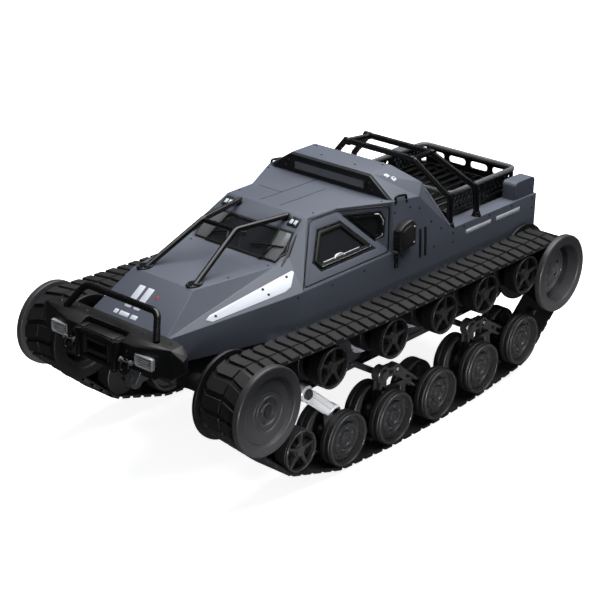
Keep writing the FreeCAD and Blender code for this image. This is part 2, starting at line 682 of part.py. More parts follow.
def body():
    """The body shell, its doors, panes, brow lamp, louvres, bed tray and side intakes."""
    outer = body_solid(0)
    wall = size("shell_wall")
    # A rib behind each hood crease, where facets that meet at a shallow angle leave too thin a wall.
    crease = body_corner("screen_base") - body_corner("nose")
    rib = rod(5.5, body_corner("nose") + crease * 0.1, body_corner("screen_base") + crease * 0.06)
    skin = outer.cut(body_solid(wall).cut(rib).cut(mirror_image(rib)))
    pane_layer = body_solid(size("pane_depth")).cut(body_solid(size("pane_depth") + size("pane_thickness")))

    windows = [side_cutter(FRONT_WINDOW), side_cutter(REAR_WINDOW)]
    screen = plan_prism(SCREEN, 150, 230)
    panes = [pane_layer.common(window) for window in windows]
    panes += [mirror_image(pane) for pane in panes]
    panes.append(pane_layer.common(screen))
    feature("window_panes", Part.makeCompound(panes))

    door = skin.common(side_cutter(DOOR)).cut(windows[0]).cut(windows[1])
    door = door.common(cuboid(30, 120, -200, 100, 100, 230))
    feature("door_left", door)
    feature("door_right", mirror_image(door))

    door_hole = side_cutter(DOOR, size("door_gap"))
    shell = skin.cut(door_hole).cut(mirror_image(door_hole)).cut(screen)
    bed_x, front, rear = size("bed_half_width"), size("bed_front_y"), size("bed_rear_y")
    shell = shell.cut(cuboid(-bed_x, bed_x, front, rear, 150, 170))
    shell = shell.cut(cuboid(-58, 58, 60, 130, 168, 207))
    brow_back = cuboid(-42, 42, 24, 40, 213, 221)
    shell = shell.cut(brow_back)
    feature("body_shell", shell)

    clearance = 0.3
    floor = size("bed_floor_z")
    tray = cuboid(-bed_x + clearance, bed_x - clearance, front + clearance, rear - clearance,
                  floor - 2, size("ledge_z") - 2)
    tray = tray.cut(cuboid(-bed_x + 2, bed_x - 2, front + 2, rear - 2, floor, 170))
    slats = [cuboid(x - 2.2, x + 2.2, front + 3, rear - 3, floor - 0.5, floor + 2) for x in range(-54, 55, 9)]
    feature("bed_tray", union([tray] + slats))

    louvres = []
    top, foot = Vector(0, 77, 214), Vector(0, 115, 161)
    down = (foot - top).normalize()
    for index in range(7):
        centre = top + down * (11.5 + 6.6 * index)
        slat = cuboid(-57.4, 57.4, -3.2, 3.2, -0.7, 0.7)
        slat.rotate(Vector(0, 0, 0), X_AXIS, -18)
        slat.translate(centre - Vector(0, down.z * -1.6, down.y * 1.6))
        louvres.append(slat)
    for x in (-57.4, 55.4):
        louvres.append(prism([Vector(x, 80.5, 206), Vector(x, 107, 169), Vector(x, 103, 169),
                              Vector(x, 76.5, 206)],
                             Vector(2, 0, 0)))
    feature("louvre_panel", union(louvres))

    lamp_outline = [Vector(-70, 40, 210.2), Vector(70, 40, 210.2),
                    Vector(47.5, 40, 226.6), Vector(-47.5, 40, 226.6)]
    lamp_frame = prism(lamp_outline, Vector(0, -13.4, 0)).cut(outer)
    lamp_frame = lamp_frame.cut(cuboid(-43.6, 43.6, 20, 40, 212.6, 221.4))
    feature("brow_lamp_frame", lamp_frame)

    intake = side_prism(((27, 160), (35.5, 157.5), (61, 162), (61, 183), (52, 190), (34, 190), (27, 184)),
                        70, 84)
    intake = intake.makeChamfer(1.2, [edge for edge in intake.Edges if edge.BoundBox.XMin > 83.9])
    feature("side_intakes", both_sides(intake.cut(outer)))

    box = cuboid(63, 78, 221, 255, size("ledge_z"), size("ledge_z") + 18)
    box = box.makeFillet(5, [edge for edge in box.Edges if edge.BoundBox.ZMin > size("ledge_z") + 17
                             and edge.BoundBox.XLength > 10])
    feature("deck_boxes", both_sides(box.cut(outer)))
    return outer


# ---------------------------------------------------------------- front end


def lamps():
    """Headlamp bezels, and the lenses of the headlamps and the brow lamp."""
    x, z = size("lamp_x"), size("lamp_z")
    bezel = cuboid(x - 10, x + 10, -261, -252, z - 5.5, z + 5.5)
    bezel = bezel.cut(cuboid(x - 8.4, x + 8.4, -262, -254, z - 3.9, z + 3.9))
    feature("headlamp_bezels", both_sides(bezel))
    lens = cuboid(x - 8.3, x + 8.3, -259.6, -254, z - 3.8, z + 3.8)
    brow_lens = cuboid(-41.8, 41.8, 27.4, 33, 213.2, 220.8)
    feature("lamp_lenses", Part.makeCompound([lens, mirror_image(lens), brow_lens]))


def front_end():
    """The bumper with its hoop, fairlead and tow shackles."""
    low, top = size("bumper_low_z"), size("bumper_top_z")
    half = [(60, -236), (82, -241), (84, -248.5), (75, -253), (40, -261)]
    bumper = plan_prism(half + [(-x, y) for x, y in reversed(half)], low, top)
    wedge = prism([Vector(-90, -262, top + 0.1), Vector(-90, -262, top - 5), Vector(-90, -252, top + 0.1)],
                  Vector(180, 0, 0))
    tips = [prism([Vector(x_in, -270, z), Vector(86, -270, z), Vector(86, -270, z_out)], Vector(0, 50, 0))
            for x_in, z, z_out in ((74, top + 0.1, 144.5), (75, low - 0.1, 138))]
    for tool in [wedge] + tips + [mirror_image(tip) for tip in tips]:
        bumper = bumper.cut(tool)
    x, z = size("lamp_x"), size("lamp_z")
    pocket = cuboid(x - 10.2, x + 10.2, -270, -251.8, z - 5.7, z + 5.7)
    bumper = bumper.cut(pocket).cut(mirror_image(pocket)).cut(cuboid(-25, 25, -270, -250, 120, 160))
    stay = union([cuboid(30, 42, -244, -236, 116, low + 1),
                  cuboid(30, 42, -240, size("hull_front_y"), 114, 122)])
    feature("front_bumper", union([bumper, stay, mirror_image(stay)]))

    hoop = tube([(-54, -249, top - 0.4), (-42.5, -236, 174), (42.5, -236, 174), (54, -249, top - 0.4)],
                size("tube_radius"), 9)
    hoop = hoop.cut(bumper)
    feature("bumper_hoop", hoop)

    frame = cuboid(-24.4, 24.4, -269, -250.4, 124.5, 151.5)
    frame = frame.cut(cuboid(-18, 18, -270, -256, 130, 146.5))
    rollers = [rod(3, Vector(x, -264, 130.2), Vector(x, -264, 146.3)) for x in (-14.6, 14.6)]
    bars = [rod(2.4, Vector(-11.2, -264, z), Vector(11.2, -264, z)) for z in (133, 143.6)]
    feature("winch_fairlead", Part.makeCompound([frame.removeSplitter()] + rollers + bars))

    shackle = tube([(29.5, -262.2, 136), (29.5, -267.4, 133), (37.5, -267.4, 129), (37.5, -262.2, 136)],
                   1.7, 2.4)
    feature("tow_shackles", both_sides(shackle))


def hood_guard(outer):
    """The bent guard tubes over the windscreen, with their feet on the hood and their cross tube."""
    radius = size("guard_tube_radius")
    bend = Vector(19.4, -119, 207.3)
    left = tube([(29.4, -180, 176), tuple(bend), (28.6, -63, 207.6)], radius, 12)
    foot = rod(6, Vector(29.4, -180, 174), Vector(29.4, -180, 178.6))
    cross = rod(radius * 0.9, Vector(-bend.x, bend.y + 1, bend.z - 1.6),
                Vector(bend.x, bend.y + 1, bend.z - 1.6))
    guard = union([left, foot, mirror_image(left), mirror_image(foot), cross]).cut(outer)
    feature("hood_guard", guard)


# ---------------------------------------------------------------- cage and rack


def roll_cage(outer):
    """Two hoops over the bed's front, joined at their upper corners."""
    radius = size("tube_radius")
    foot_z = size("ledge_z")
    front = tube([(-75.5, 117, foot_z), (-75.5, 115, 190), (-41, 101, 224), (41, 101, 224), (75.5, 115, 190),
                  (75.5, 117, foot_z)], radius, 7)
    rear = tube([(-75.5, 160, foot_z), (-75.5, 157, 190), (-38, 132, 222.7), (38, 132, 222.7), (75.5, 157, 190),
                 (75.5, 160, foot_z)], radius, 7)
    links = []
    for side in (1, -1):
        links.append(rod(radius * 0.9, Vector(side * 40, 101, 223.4), Vector(side * 37, 132, 222)))
        for y in (117, 160):
            links.append(Part.makeCylinder(4.2, 2, Vector(side * 75.5, y, foot_z)))
    feature("roll_cage", union([front, rear] + links).cut(outer))


def cargo_rack():
    """An open basket on the bed: rail, perforated sides, slotted rear panel and slatted floor."""
    half, front, rear = size("rack_half_width"), size("rack_front_y"), size("rack_rear_y")
    rail_z, floor_z, radius = size("rack_rail_z"), size("rack_floor_z"), size("rack_tube_radius")
    corners = [(half, front), (half, rear), (-half, rear), (-half, front)]
    pieces = []
    for (x1, y1), (x2, y2) in zip(corners, corners[1:] + corners[:1]):
        pieces.append(rod(radius, Vector(x1, y1, rail_z), Vector(x2, y2, rail_z)))
    for x, y in corners:
        pieces.append(Part.makeSphere(radius, Vector(x, y, rail_z)))
        pieces.append(rod(radius * 0.8, Vector(x, y, floor_z - 1), Vector(x, y, rail_z)))
    panel = cuboid(half - 0.8, half + 0.8, front, rear, floor_z, rail_z)
    hole_pitch = 12.3
    for index in range(8):
        y = front + 12 + hole_pitch * index
        panel = panel.cut(cuboid(half - 2, half + 2, y - 4, y + 4, floor_z + 5, rail_z - 6))
    pieces += [panel, mirror_image(panel)]
    back = cuboid(-half, half, rear - 0.8, rear + 0.8, floor_z, rail_z)
    for x in (-40.5, -13.5, 13.5, 40.5):
        back = back.cut(cuboid(x - 10, x + 10, rear - 3, rear + 3, floor_z + 7, rail_z - 5.5))
    pieces.append(back)
    for y in (front, (front + rear) / 2, rear):
        pieces.append(cuboid(-half, half, y - 2, y + 2, floor_z - 1.6, floor_z + 0.4))
    for index in range(9):
        x = -48 + 12 * index
        pieces.append(cuboid(x - 2, x + 2, front, rear, floor_z, floor_z + 1.6))
    for x in (-50, 50):
        for y in (front + 8, rear - 8):
            pieces.append(cuboid(x - 3, x + 3, y - 3, y + 3, size("bed_floor_z") + 2, floor_z + 0.5))
    feature("cargo_rack", union(pieces))


# ---------------------------------------------------------------- build, check and write


def build():
    running_gear()
    belts()
    arms()
    fixed_axles()
    chassis_tub()
    electrics()
    outer = body()
    lamps()
    front_end()
    hood_guard(outer)
    roll_cage(outer)
    cargo_rack()
    doc.recompute()


def check():
    """Stop if the document holds a failed object or a sub-part without a valid shape."""
    faults = [obj.Name for obj in doc.Objects if "Invalid" in obj.State or "Error" in obj.State]
    faults += [obj.Label for obj in kept if obj.Shape.isNull() or not obj.Shape.isValid()]
    faults += [obj.Label for obj in kept if obj.Shape.Volume <= 0 or not obj.Shape.Solids]
    if faults:
        raise RuntimeError("failed: " + ", ".join(faults))


def write():
    os.makedirs("parts", exist_ok=True)
    for obj in kept:
        obj.Shape.exportStep(f"parts/{obj.Label}.step")
        print(f"{obj.Label}: {len(obj.Shape.Solids)} solids, {obj.Shape.Volume / 1000:.2f} cm3")


build()
check()
write()
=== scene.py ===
"""Looks of the tracked vehicle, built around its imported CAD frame.

Points are in millimetres in the row frame: +X is the vehicle's left side, the nose points to -Y and
+Z is up. Shapes are scaled to metres when they become objects.
"""
import json
import math

import bmesh
import bpy
from mathutils import Matrix, Vector
from mathutils.bvhtree import BVHTree


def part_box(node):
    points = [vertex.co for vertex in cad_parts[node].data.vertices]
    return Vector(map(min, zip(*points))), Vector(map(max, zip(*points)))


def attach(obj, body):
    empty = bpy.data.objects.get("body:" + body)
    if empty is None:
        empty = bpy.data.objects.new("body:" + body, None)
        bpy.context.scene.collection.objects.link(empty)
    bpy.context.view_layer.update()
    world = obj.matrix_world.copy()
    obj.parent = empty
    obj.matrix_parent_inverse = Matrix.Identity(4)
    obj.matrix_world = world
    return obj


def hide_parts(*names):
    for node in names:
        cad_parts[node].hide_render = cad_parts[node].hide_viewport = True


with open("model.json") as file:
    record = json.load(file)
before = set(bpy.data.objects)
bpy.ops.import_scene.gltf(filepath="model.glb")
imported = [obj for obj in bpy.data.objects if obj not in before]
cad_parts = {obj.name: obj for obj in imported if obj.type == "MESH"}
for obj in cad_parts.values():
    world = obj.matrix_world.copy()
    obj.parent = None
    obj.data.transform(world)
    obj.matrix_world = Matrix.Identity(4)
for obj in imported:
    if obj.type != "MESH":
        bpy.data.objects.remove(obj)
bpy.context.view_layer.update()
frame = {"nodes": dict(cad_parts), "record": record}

MM = 0.001
SIDES = (("left", 1), ("right", -1))
STATIONS = (1, 2, 3, 4, 5)
CHASSIS = "chassis"
X_AXIS, Y_AXIS, Z_AXIS = Vector((1, 0, 0)), Vector((0, 1, 0)), Vector((0, 0, 1))

nodes = frame["nodes"]
scene = bpy.context.scene
scene.view_settings.view_transform = "Standard"


# ---- materials


def display(red, green, blue):
    """A display colour from 0 to 255 as the linear colour that a shader takes."""
    return tuple((value / 255) ** 2.2 for value in (red, green, blue)) + (1.0,)


def shade(color, factor):
    """A lighter or darker colour."""
    return tuple(min(1.0, value * factor) for value in color[:3]) + (1.0,)


NOISE_SPAN = (0.3, 0.7)  # the part of a noise texture's output that is spread over a range


def finish(name, color, roughness, metallic=0.0, mottle=0.1, patch=30.0, grain=0.25, grain_size=0.5,
           spread=0.08, stretch=(1, 1, 1), edge_highlight=0.0):
    """A surface with broad mottling, fine grain and uneven gloss, and rounded edges lightened by
    edge_highlight as a painted highlight; grain_size is in millimetres.
    """
    material = bpy.data.materials.new(name)
    material.use_nodes = True
    tree = material.node_tree
    shader = tree.nodes["Principled BSDF"]
    shader.inputs["Metallic"].default_value = metallic

    def node(kind, **inputs):
        """A new node; each input takes a value or another node's output."""
        made = tree.nodes.new(f"ShaderNode{kind}")
        for label, value in inputs.items():
            socket = made.inputs[label.replace("_", " ")]
            if isinstance(value, bpy.types.NodeSocket):
                tree.links.new(value, socket)
            else:
                socket.default_value = value
        return made

    place = node("TexCoord").outputs["Object"]
    stretched = node("Mapping", Vector=place, Scale=stretch).outputs["Vector"]
    broad = node("TexNoise", Vector=stretched, Scale=patch, Detail=5).outputs["Fac"]
    fine = node("TexNoise", Vector=stretched, Scale=1 / (grain_size * MM), Detail=3).outputs["Fac"]
    ramp = node("ValToRGB", Fac=broad)
    for element, position, factor in zip(ramp.color_ramp.elements, NOISE_SPAN, (1 - mottle, 1 + mottle)):
        element.position = position
        element.color = shade(color, factor)
    colour = ramp.outputs["Color"]
    # Painted highlight: the colour is lightened where the surface rounds over an edge, standing in for the
    # light that edges catch.
    if edge_highlight:
        meet = node("VectorMath")
        meet.operation = "DOT_PRODUCT"
        tree.links.new(node("Bevel", Radius=0.7 * MM).outputs["Normal"], meet.inputs[0])
        tree.links.new(node("NewGeometry").outputs["Normal"], meet.inputs[1])
        edge = node("MapRange", Value=meet.outputs["Value"], From_Min=0.995, From_Max=0.93, To_Max=edge_highlight)
        highlit = node("Mix")
        highlit.data_type = "RGBA"
        highlit.inputs["B"].default_value = shade(color, 2.2)
        tree.links.new(edge.outputs["Result"], highlit.inputs["Factor"])
        tree.links.new(colour, highlit.inputs["A"])
        colour = highlit.outputs["Result"]
    gloss = node("MapRange", Value=broad, From_Min=NOISE_SPAN[0], From_Max=NOISE_SPAN[1],
                 To_Min=max(0.02, roughness - spread), To_Max=roughness + spread)
    bump = node("Bump", Height=fine, Strength=grain, Distance=grain_size * 0.2 * MM)
    tree.links.new(colour, shader.inputs["Base Color"])
    tree.links.new(gloss.outputs["Result"], shader.inputs["Roughness"])
    tree.links.new(bump.outputs["Normal"], shader.inputs["Normal"])
    return material


def glass(name, color, roughness, see_through):
    """Tinted clear plastic with a faint haze."""
    material = finish(name, color, roughness, mottle=0.05, grain=0.05, grain_size=2.0, spread=0.02)
    shader = material.node_tree.nodes["Principled BSDF"]
    shader.inputs["Alpha"].default_value = 1 - see_through
    shader.inputs["Specular IOR Level"].default_value = 0.6
    return material


# The edge_highlight values below paint rounded edges lighter as a painted highlight.
PAINT = finish("slate_paint", display(92, 97, 109), 0.5, mottle=0.06, patch=14, grain_size=0.8, edge_highlight=0.15)
TRIM = finish("black_trim", display(17, 17, 18), 0.48, mottle=0.12, grain=0.5, grain_size=0.35, edge_highlight=0.1)
TUBE = finish("satin_black_tube", display(18, 18, 19), 0.27, grain=0.15, grain_size=0.6)
RUBBER = finish("track_rubber", display(21, 21, 22), 0.62, mottle=0.16, patch=60, grain=0.6, grain_size=0.3,
                edge_highlight=0.2)
TYRE = finish("tyre_rubber", display(15, 15, 16), 0.55, mottle=0.15, patch=60, grain=0.5, grain_size=0.3)
WHEEL = finish("wheel_plastic", display(48, 48, 49), 0.28, mottle=0.08, grain=0.2, grain_size=0.4, edge_highlight=0.2)
DRUM = finish("drum_plastic", display(66, 66, 68), 0.36, mottle=0.08, grain=0.3, grain_size=0.4, edge_highlight=0.2)
HULL = finish("hull_plastic", display(36, 37, 40), 0.55, mottle=0.12, grain=0.5, grain_size=0.4)
# Painted light: the bosses sit in shade under the track, and this grey is lightened well past their own dark
# grey to show them lit.
BOSS_PAINTED_LIGHT = finish("hull_boss_painted_light", display(150, 151, 156), 0.45, mottle=0.08, grain=0.3, grain_size=0.4)
ALLOY = finish("bare_alloy", display(232, 233, 236), 0.34, metallic=0.35, mottle=0.06, grain=0.3,
               grain_size=0.3, stretch=(1, 1, 0.15))
STEEL = finish("turned_steel", display(176, 177, 180), 0.32, metallic=0.7, mottle=0.08, grain=0.2,
               grain_size=0.2)
PIN = finish("blackened_steel", display(72, 72, 74), 0.36, metallic=0.5, mottle=0.08, grain=0.2,
             grain_size=0.4)
CHROME = finish("plated_chrome", display(236, 238, 240), 0.14, metallic=0.2, mottle=0.03, grain=0.05,
                spread=0.03)
PALE = finish("pale_marking", display(226, 231, 242), 0.45, mottle=0.03, grain=0.15)
RAIL = finish("rail_grey", display(96, 97, 100), 0.36, mottle=0.08, grain=0.2)
SIDE_GLASS = finish("tinted_side_pane", display(104, 105, 106), 0.14, mottle=0.06, grain=0.04,
                    grain_size=2.0, spread=0.03)
EDGE_PAINT = finish("light_edge_paint", display(120, 123, 132), 0.4, mottle=0.05, grain=0.15)
RED_MARK = finish("red_mark", display(176, 62, 60), 0.45, mottle=0.05, grain=0.15)
GLASS = glass("smoked_glass", display(50, 52, 55), 0.08, 0.45)
LENS = glass("clear_lens", display(225, 228, 232), 0.06, 0.65)
WRAP = finish("battery_wrap", display(60, 90, 150), 0.3, mottle=0.06, grain=0.1, grain_size=1.0)
BOARD = finish("solder_mask", display(40, 100, 64), 0.35, patch=200, grain=0.3, grain_size=0.8)
SLOT_MATERIAL = {
    "wheel_grey": WHEEL, "track_rubber": RUBBER, "bare_alloy": ALLOY, "arm_plastic": TRIM, "steel": PIN,
    "hull_plastic": HULL, "motor_metal": STEEL, "battery_wrap": WRAP, "circuit_board": BOARD,
    "switch_plastic": TRIM, "smoked_glass": GLASS, "body_paint": PAINT, "trim_black": TRIM,
    "tube_black": TUBE, "lamp_chrome": CHROME, "lamp_lens": LENS,
}


def finish_cad_nodes():
    """Every CAD node takes the material of its record slot."""
    for part in frame["record"]["subparts"]:
        mesh = nodes[part["node"]].data
        mesh.materials.clear()
        mesh.materials.append(SLOT_MATERIAL[part["material_slot"]])


finish_cad_nodes()


# ---- shapes


def softened(points, radius, closed=True, steps=3):
    """The same outline with each corner rounded; radius is how far from the corner the curve starts."""
    points = [Vector(point) for point in points]
    count = len(points)
    rounded = []
    for index, corner in enumerate(points):
        if not closed and index in (0, count - 1):
            rounded.append(corner)
            continue
        before, after = points[index - 1], points[(index + 1) % count]
        start = corner + (before - corner) * min(0.49, radius / max((before - corner).length, 1e-6))
        end = corner + (after - corner) * min(0.49, radius / max((after - corner).length, 1e-6))
        for step in range(steps + 1):
            share = step / steps
            rounded.append(start.lerp(corner, share).lerp(corner.lerp(end, share), share))
    return rounded


def ring_outline(radius, count=48, centre=(0, 0)):
    """A circle as an outline of points."""
    turns = (2 * math.pi * step / count for step in range(count))
    return [(centre[0] + radius * math.cos(turn), centre[1] + radius * math.sin(turn)) for turn in turns]


def facing(direction, origin):
    """A placing matrix: the local Z axis points along a direction, from an origin."""
    turn = Vector(direction).to_track_quat("Z", "Y").to_matrix().to_4x4()
    return Matrix.Translation(Vector(origin)) @ turn


def from_side(x, y=0.0, z=0.0):
    """A placing matrix for outlines drawn as (y, z) and raised along +X."""
    turn = Matrix(((0, 0, 1), (1, 0, 0), (0, 1, 0))).to_4x4()
    return Matrix.Translation(Vector((x, y, z))) @ turn


def upright(x, y, z):
    """A placing matrix for outlines drawn as (x, z), seen from the front and raised along -Y."""
    return Matrix.Translation((x, y, z)) @ Matrix.Rotation(math.radians(90), 4, "X")


def rectangle(x1, y1, x2, y2):
    """An outline from one corner to the opposite one."""
    return [(x1, y1), (x2, y1), (x2, y2), (x1, y2)]


SHARP_ANGLE = math.radians(40)  # steeper edges are drawn as creases
BEVEL_ANGLE = 0.4  # steeper edges of a built solid are rounded, in radians


class Shape:
    """Closed solids gathered in one mesh, in millimetres; each solid takes a material's number."""

    def __init__(self):
        self.mesh = bmesh.new()

    def add(self, solid, coat=0, place=None, edge=0.0):
        """Take in a finished bmesh, with its sharp edges rounded if an edge width is given."""
        if edge:
            sharp = [e for e in solid.edges if len(e.link_faces) == 2 and e.calc_face_angle(0) > BEVEL_ANGLE]
            bmesh.ops.bevel(solid, geom=sharp, offset=edge, segments=2, profile=0.5, affect="EDGES",
                            clamp_overlap=True)
        for face in solid.faces:
            face.material_index = coat
        if place is not None:
            solid.transform(place)
        bmesh.ops.recalc_face_normals(solid, faces=solid.faces)
        carrier = bpy.data.meshes.new("carrier")
        solid.to_mesh(carrier)
        solid.free()
        self.mesh.from_mesh(carrier)
        bpy.data.meshes.remove(carrier)
        return self

    def skin(self, rings, coat=0, loop=False, place=None):
        """Quads between rings of points that have equal counts; the ends are closed unless it loops."""
        solid = bmesh.new()
        rows = [[solid.verts.new(point) for point in ring] for ring in rings]
        pairs = list(zip(rows, rows[1:] + rows[:1] if loop else rows[1:]))
        for row, following in pairs:
            for index in range(len(row)):
                ahead = (index + 1) % len(row)
                solid.faces.new((row[index], row[ahead], following[ahead], following[index]))
        if not loop:
            solid.faces.new(rows[0])
            solid.faces.new(rows[-1])
        return self.add(solid, coat, place)

    def lathe(self, profile, origin=(0, 0, 0), axis=X_AXIS, coat=0, loop=False, count=48, edge=0.0):
        """A profile of (along, radius) points turned around an axis."""
        if edge:
            profile = softened(profile, edge, closed=loop, steps=2)
        place = facing(axis, origin)
        turns = [2 * math.pi * step / count for step in range(count)]
        rings = [[(r * math.cos(turn), r * math.sin(turn), along) for turn in turns] for along, r in profile]
        return self.skin(rings, coat, loop, place)

    def tube(self, points, radius, bend, coat=0, closed=False, count=14, steps=6):
        """A round tube along straight runs and smooth bends, with softened ends."""
        path = softened(points, bend, closed, steps)
        path = [p for p, q in zip(path, path[1:] + path[:1]) if (p - q).length > 1e-4 or not closed]
        turns = [2 * math.pi * step / count for step in range(count)]
        rings = []
        side = None
        for index, point in enumerate(path):
            first, last = index == 0, index == len(path) - 1
            before = path[index - 1] if closed or not first else point
            after = path[(index + 1) % len(path)] if closed or not last else point
            heading = (after - before).normalized()
            side = (side - heading * side.dot(heading) if side else heading.orthogonal()).normalized()
            other = heading.cross(side)
            spokes = [(side * math.cos(turn) + other * math.sin(turn)) * radius for turn in turns]
            if closed or not (first or last):
                rings.append([point + spoke for spoke in spokes])
                continue
            lip = heading * radius * (0.3 if first else -0.3)
            end = [[point + spoke * 0.75 for spoke in spokes], [point + lip + spoke for spoke in spokes]]
            rings += end if first else end[::-1]
        return self.skin(rings, coat, loop=closed)

    def plate(self, outlines, thickness, place, coat=0, edge=0.4):
        """A flat plate with rounded edges; the first outline is its rim and the others are holes."""
        curve = bpy.data.curves.new("outline", "CURVE")
        curve.dimensions = "2D"
        curve.fill_mode = "BOTH"
        curve.extrude = thickness / 2 - edge
        curve.bevel_depth = edge
        curve.bevel_resolution = 1
        curve.offset = -edge
        for outline in outlines:
            spline = curve.splines.new("POLY")
            spline.points.add(len(outline) - 1)
            for point, place_in_plane in zip(spline.points, outline):
                point.co = (place_in_plane[0], place_in_plane[1], 0, 1)
            spline.use_cyclic_u = True
        holder = bpy.data.objects.new("outline", curve)
        flat = bpy.data.meshes.new_from_object(holder)
        solid = bmesh.new()
        solid.from_mesh(flat)
        bmesh.ops.remove_doubles(solid, verts=solid.verts, dist=0.002)
        bpy.data.objects.remove(holder)
        bpy.data.curves.remove(curve)
        bpy.data.meshes.remove(flat)
        return self.add(solid, coat, place)

    def block(self, low, high, coat=0, edge=0.5):
        """A box between two corners, with rounded edges."""
        solid = bmesh.new()
        low, high = Vector(low), Vector(high)
        bmesh.ops.create_cube(solid, size=1.0)
        solid.transform(Matrix.Translation((low + high) / 2) @ Matrix.Diagonal((high - low).to_4d()))
        return self.add(solid, coat, edge=edge)

    def slab(self, corners, direction, coat=0, edge=0.4):
        """A flat outline of 3-D corners raised along a direction, with rounded edges."""
        solid = bmesh.new()
        face = solid.faces.new([solid.verts.new(corner) for corner in corners])
        raised = bmesh.ops.extrude_face_region(solid, geom=[face])
        moved = [item for item in raised["geom"] if isinstance(item, bmesh.types.BMVert)]
        bmesh.ops.translate(solid, verts=moved, vec=Vector(direction))
        bmesh.ops.recalc_face_normals(solid, faces=solid.faces)
        return self.add(solid, coat, edge=edge)

    def bolt(self, point, direction, radius=1.2, height=0.8, coat=0):
        """A round screw head with a hexagon socket."""
        profile = [(-0.4, radius), (height * 0.55, radius), (height, radius * 0.72), (height, radius * 0.42),
                   (height * 0.4, radius * 0.42)]
        return self.lathe(profile, point, Vector(direction), coat, count=12)


def piece(name, shape, finishes, stands_for=(), body=CHASSIS, flip=False, shift=None):
    """Make an object of a shape, on a body of the frame; flip puts it on the right side."""
    mesh = shape.mesh.copy()
    if shift is not None:
        bmesh.ops.translate(mesh, verts=mesh.verts, vec=shift)
    if flip:
        bmesh.ops.scale(mesh, vec=(-1, 1, 1), verts=mesh.verts)
        bmesh.ops.reverse_faces(mesh, faces=mesh.faces)
    bmesh.ops.scale(mesh, vec=(MM, MM, MM), verts=mesh.verts)
    for face in mesh.faces:
        face.smooth = True
    for edge in mesh.edges:
        if len(edge.link_faces) == 2 and edge.calc_face_angle(0) > SHARP_ANGLE:
            edge.smooth = False
    data = bpy.data.meshes.new(name)
    mesh.to_mesh(data)
    mesh.free()
    for material in finishes:
        data.materials.append(material)
    made = bpy.data.objects.new(name, data)
    scene.collection.objects.link(made)
    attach(made, body)
    if stands_for:
        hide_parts(*stands_for)
    return made


def on_both_sides(name, shape, finishes, stands_for=(), body=CHASSIS, shift=None):
    """A piece on the left and its mirror image on the right; {} in a name stands for the side.

    A node that spans both sides is stood for by the left piece.
    """
    for side, sign in SIDES:
        replaced = [node.format(side) for node in stands_for if sign > 0 or "{}" in node]
        piece(name.format(side), shape, finishes, replaced, body.format(side), sign < 0, shift)


def spot(node):
    """A node's box in millimetres: its lowest and highest corners."""
    low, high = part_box(node)
    return low / MM, high / MM


def hub_of(node):
    """The (y, z) of a wheel's axis and its radius, in millimetres."""
    low, high = spot(node)
    return (low.y + high.y) / 2, (low.z + high.z) / 2, (high.z - low.z) / 2


# ---- bevelled copies of CAD nodes

PANE_DEPTH = 0.7


def copy_of(node):
    """A node's mesh in millimetres, with its flat regions merged."""
    source = nodes[node]
    solid = bmesh.new()
    solid.from_mesh(source.data)
    solid.transform(Matrix.Diagonal((1 / MM, 1 / MM, 1 / MM, 1)) @ source.matrix_world)
    bmesh.ops.remove_doubles(solid, verts=solid.verts, dist=0.003)
    bmesh.ops.dissolve_limit(solid, angle_limit=math.radians(0.6), verts=solid.verts, edges=solid.edges)
    return solid


def rounded_copy(node, edge, least_angle, least_length=4.0):
    """A node's shape with every long sharp edge rounded; least_length is in edge widths."""
    solid = copy_of(node)
    sharp = []
    for candidate in solid.edges:
        if len(candidate.link_faces) != 2 or candidate.calc_length() < least_length * edge:
            continue
        if math.radians(least_angle) < candidate.calc_face_angle(0) < math.radians(150):
            sharp.append(candidate)
    bmesh.ops.bevel(solid, geom=sharp, offset=edge, segments=3, profile=0.5, affect="EDGES",
                    clamp_overlap=False)
    bmesh.ops.remove_doubles(solid, verts=solid.verts, dist=0.001)
    return Shape().add(solid)


# Node: (width of the rounding, least angle of the edges that take it)
REFINED = {
    "body_shell": (0.5, 8), "door_left": (0.3, 25), "door_right": (0.3, 25), "deck_boxes": (0.6, 25),
    "chassis_tub": (0.8, 20), "bed_tray": (0.35, 25), "louvre_panel": (0.25, 25),
    "brow_lamp_frame": (0.5, 12), "battery_hatch": (0.4, 25), "power_switch": (0.3, 25),
    "control_board": (0.2, 25), "battery_pack": (1.5, 25), "gearmotors": (0.5, 25),
}


def refined_nodes():
    """Stand-ins for the sharp-edged nodes, with rounded edges that catch the light."""
    for part in frame["record"]["subparts"]:
        node, slot = part["node"], part["material_slot"]
        if node in REFINED:
            edge, least_angle = REFINED[node]
            body = "switch" if node == "power_switch" else CHASSIS
            piece(f"{node}_rounded", rounded_copy(node, edge, least_angle), [SLOT_MATERIAL[slot]],
                  [node], body)


refined_nodes()


# ---- track belts

BELT_GAP = 0.3
DRUM_RADIUS = 31.1
SAG_Y, SAG_RADIUS = -40.0, 250.0
BELT_INNER_X, BELT_OUTER_X = 87.0, 127.0
BAND_HEIGHT, PAD_HEIGHT = 1.5, 3.8
TOOTH_PITCH, PAD_GAP = 14.3, 2.6
PATH_STEP = 0.5


def belt_circles():
    """The (y, z, radius) circles that the belt's inner surface wraps; a negative radius bends outward."""
    y, z, _ = hub_of("front_idler_left")
    circles = [(y, z, DRUM_RADIUS + BELT_GAP)]
    _, roller_z, roller_radius = hub_of("return_roller_1_left")
    circles.append((SAG_Y, roller_z + roller_radius + BELT_GAP + SAG_RADIUS, -SAG_RADIUS))
    y, z, _ = hub_of("drive_sprocket_left")
    circles.append((y, z, DRUM_RADIUS + BELT_GAP))
    for station in reversed(STATIONS):
        y, z, radius = hub_of(f"road_wheel_{station}_left")
        circles.append((y, z, radius + BELT_GAP))
    y, z, radius = hub_of("guide_wheel_left")
    circles.append((y, z, radius + BELT_GAP))
    return circles


